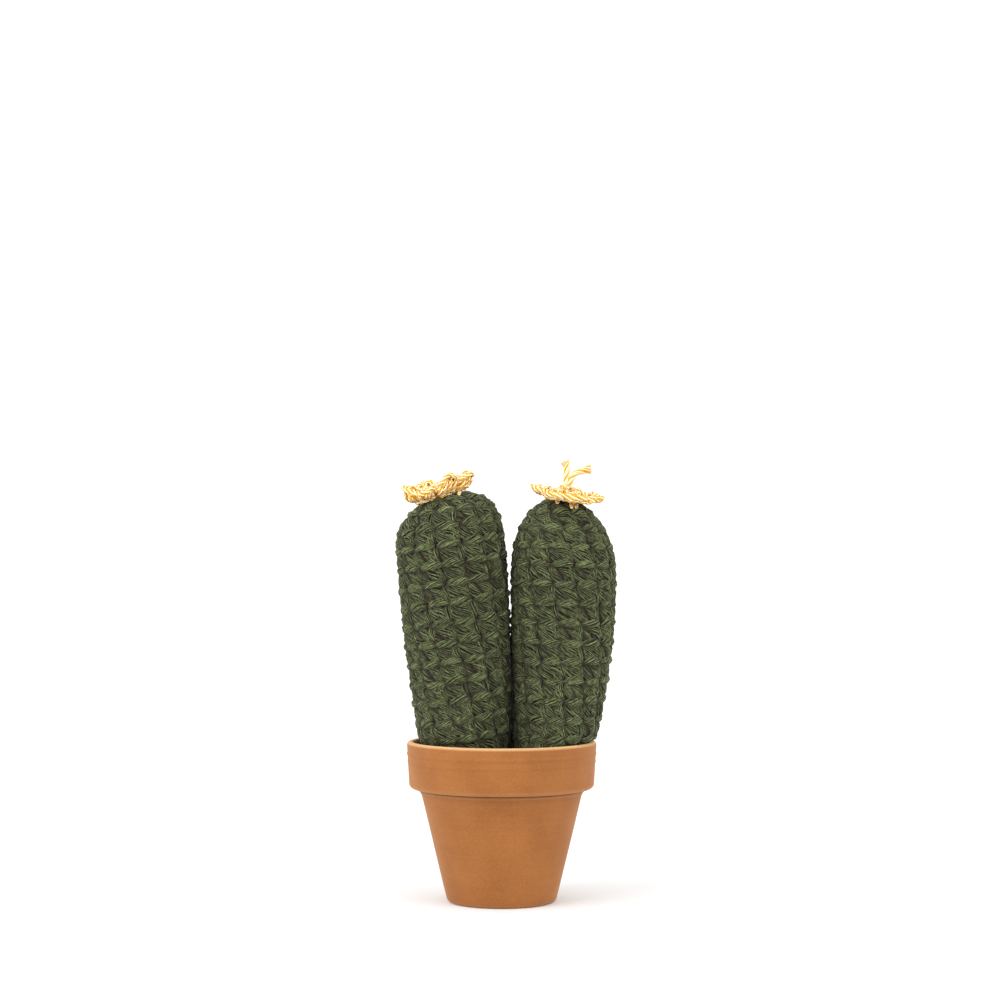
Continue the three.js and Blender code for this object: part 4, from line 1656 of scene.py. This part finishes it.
@dataclass(frozen=True)
class Studio:
    """A pale floor, soft light from both sides, and the camera at the photo's angle."""

    camera_place: tuple[float, float, float] = (-2.72 * MM, -876 * MM, 139 * MM)
    pitch: float = 1.937  # degrees over the horizon
    lens: float = 74.5
    floor_radius: float = 0.5
    white: str = "E4E4E4"
    lights: tuple = (
        # name, place, size, watts
        ("key", (-1.8, -1.25, 1.5), 2.0, 41.0),
        ("fill", (1.7, -1.25, 1.2), 1.8, 20.5),
    )
    sky: float = 1.27

    def build_camera(self) -> Object:
        """Place the camera."""
        data = bpy.data.cameras.new("camera")
        data.lens = self.lens
        data.sensor_width = 36.0
        camera = bpy.data.objects.new("camera", data)
        camera.location = self.camera_place
        camera.rotation_euler = (math.radians(90 + self.pitch), 0, 0)
        bpy.context.scene.collection.objects.link(camera)
        bpy.context.scene.camera = camera
        return camera

    def build_floor(self) -> Object:
        """Lay the floor: a disc of white paper, lit as brightly as the surroundings."""
        angle = TURN * np.arange(96) / 96
        mesh = bpy.data.meshes.new("floor")
        edge = self.floor_radius * np.stack([np.cos(angle), np.sin(angle), 0 * angle], axis=1)
        mesh.from_pydata(edge.tolist(), [], [tuple(range(len(edge)))])
        material, add = new_material("matt white paper")
        paper = {"Base Color": colour(self.white), "Roughness": 1.0, "Specular IOR Level": 0.0}
        add("OutputMaterial", {"Surface": add("BsdfPrincipled", paper)})
        mesh.materials.append(material)
        floor = bpy.data.objects.new("floor", mesh)
        bpy.context.scene.collection.objects.link(floor)
        return floor

    def build_light(self) -> None:
        """Hang the soft lights and brighten the surroundings."""
        aim = np.array([0.0, 0.0, 0.09])
        for name, place, size, watts in self.lights:
            data = bpy.data.lights.new(name, "AREA")
            data.size = size
            data.energy = watts
            lamp = bpy.data.objects.new(name, data)
            lamp.location = place
            to_aim = aim - np.array(place)
            flat = math.hypot(to_aim[0], to_aim[1])
            lamp.rotation_euler = (math.atan2(flat, -to_aim[2]), 0, math.atan2(-to_aim[0], to_aim[1]))
            bpy.context.scene.collection.objects.link(lamp)
        world = bpy.data.worlds.new("studio")
        world.use_nodes = True
        tree = world.node_tree
        tree.nodes.clear()
        sky = add_node(tree, "Background", {"Color": colour("FFFFFF"), "Strength": self.sky})
        add_node(tree, "OutputWorld", {"Surface": sky})
        bpy.context.scene.world = world
        bpy.context.scene.view_settings.view_transform = "Standard"
        bpy.context.scene.view_settings.look = "None"


@dataclass
class Cactus:
    """The whole object."""

    pot: Pot = field(default_factory=Pot)
    packing: Packing = field(default_factory=Packing)
    stems: tuple[Stem, ...] = (LEFT_STEM, RIGHT_STEM)
    flowers: tuple[Flower, ...] = (LEFT_FLOWER, RIGHT_FLOWER)
    tie_yarn: TieYarn = field(default_factory=lambda: TieYarn(RIGHT_FLOWER))

    def build(self) -> None:
        """Build every piece and report it."""
        report(self.pot.build(TerracottaFinish().material()))
        report(self.packing.build(PACKING.material()))
        green = GREEN_COTTON.material()
        fibrefill = FIBREFILL.material()
        for stem in self.stems:
            for piece in stem.build_cover(green):
                report(piece)
            report(stem.build_stuffing(fibrefill))
        marled = MARLED_COTTON.material()
        for flower in self.flowers:
            report(flower.build(marled))
        report(self.tie_yarn.build(CUT_COTTON.material()))


def corners(box: Sequence) -> list[list[float]]:
    """Turn a box's two corners into plain lists."""
    return [[float(value) for value in corner] for corner in box]


def main() -> None:
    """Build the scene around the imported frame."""
    logging.basicConfig(level=logging.INFO, format="%(name)s: %(message)s")
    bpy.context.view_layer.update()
    studio = Studio()
    studio.build_camera()
    studio.build_floor()
    studio.build_light()
    Cactus().build()
    bpy.context.view_layer.update()


if __name__ == "__main__":
    main()
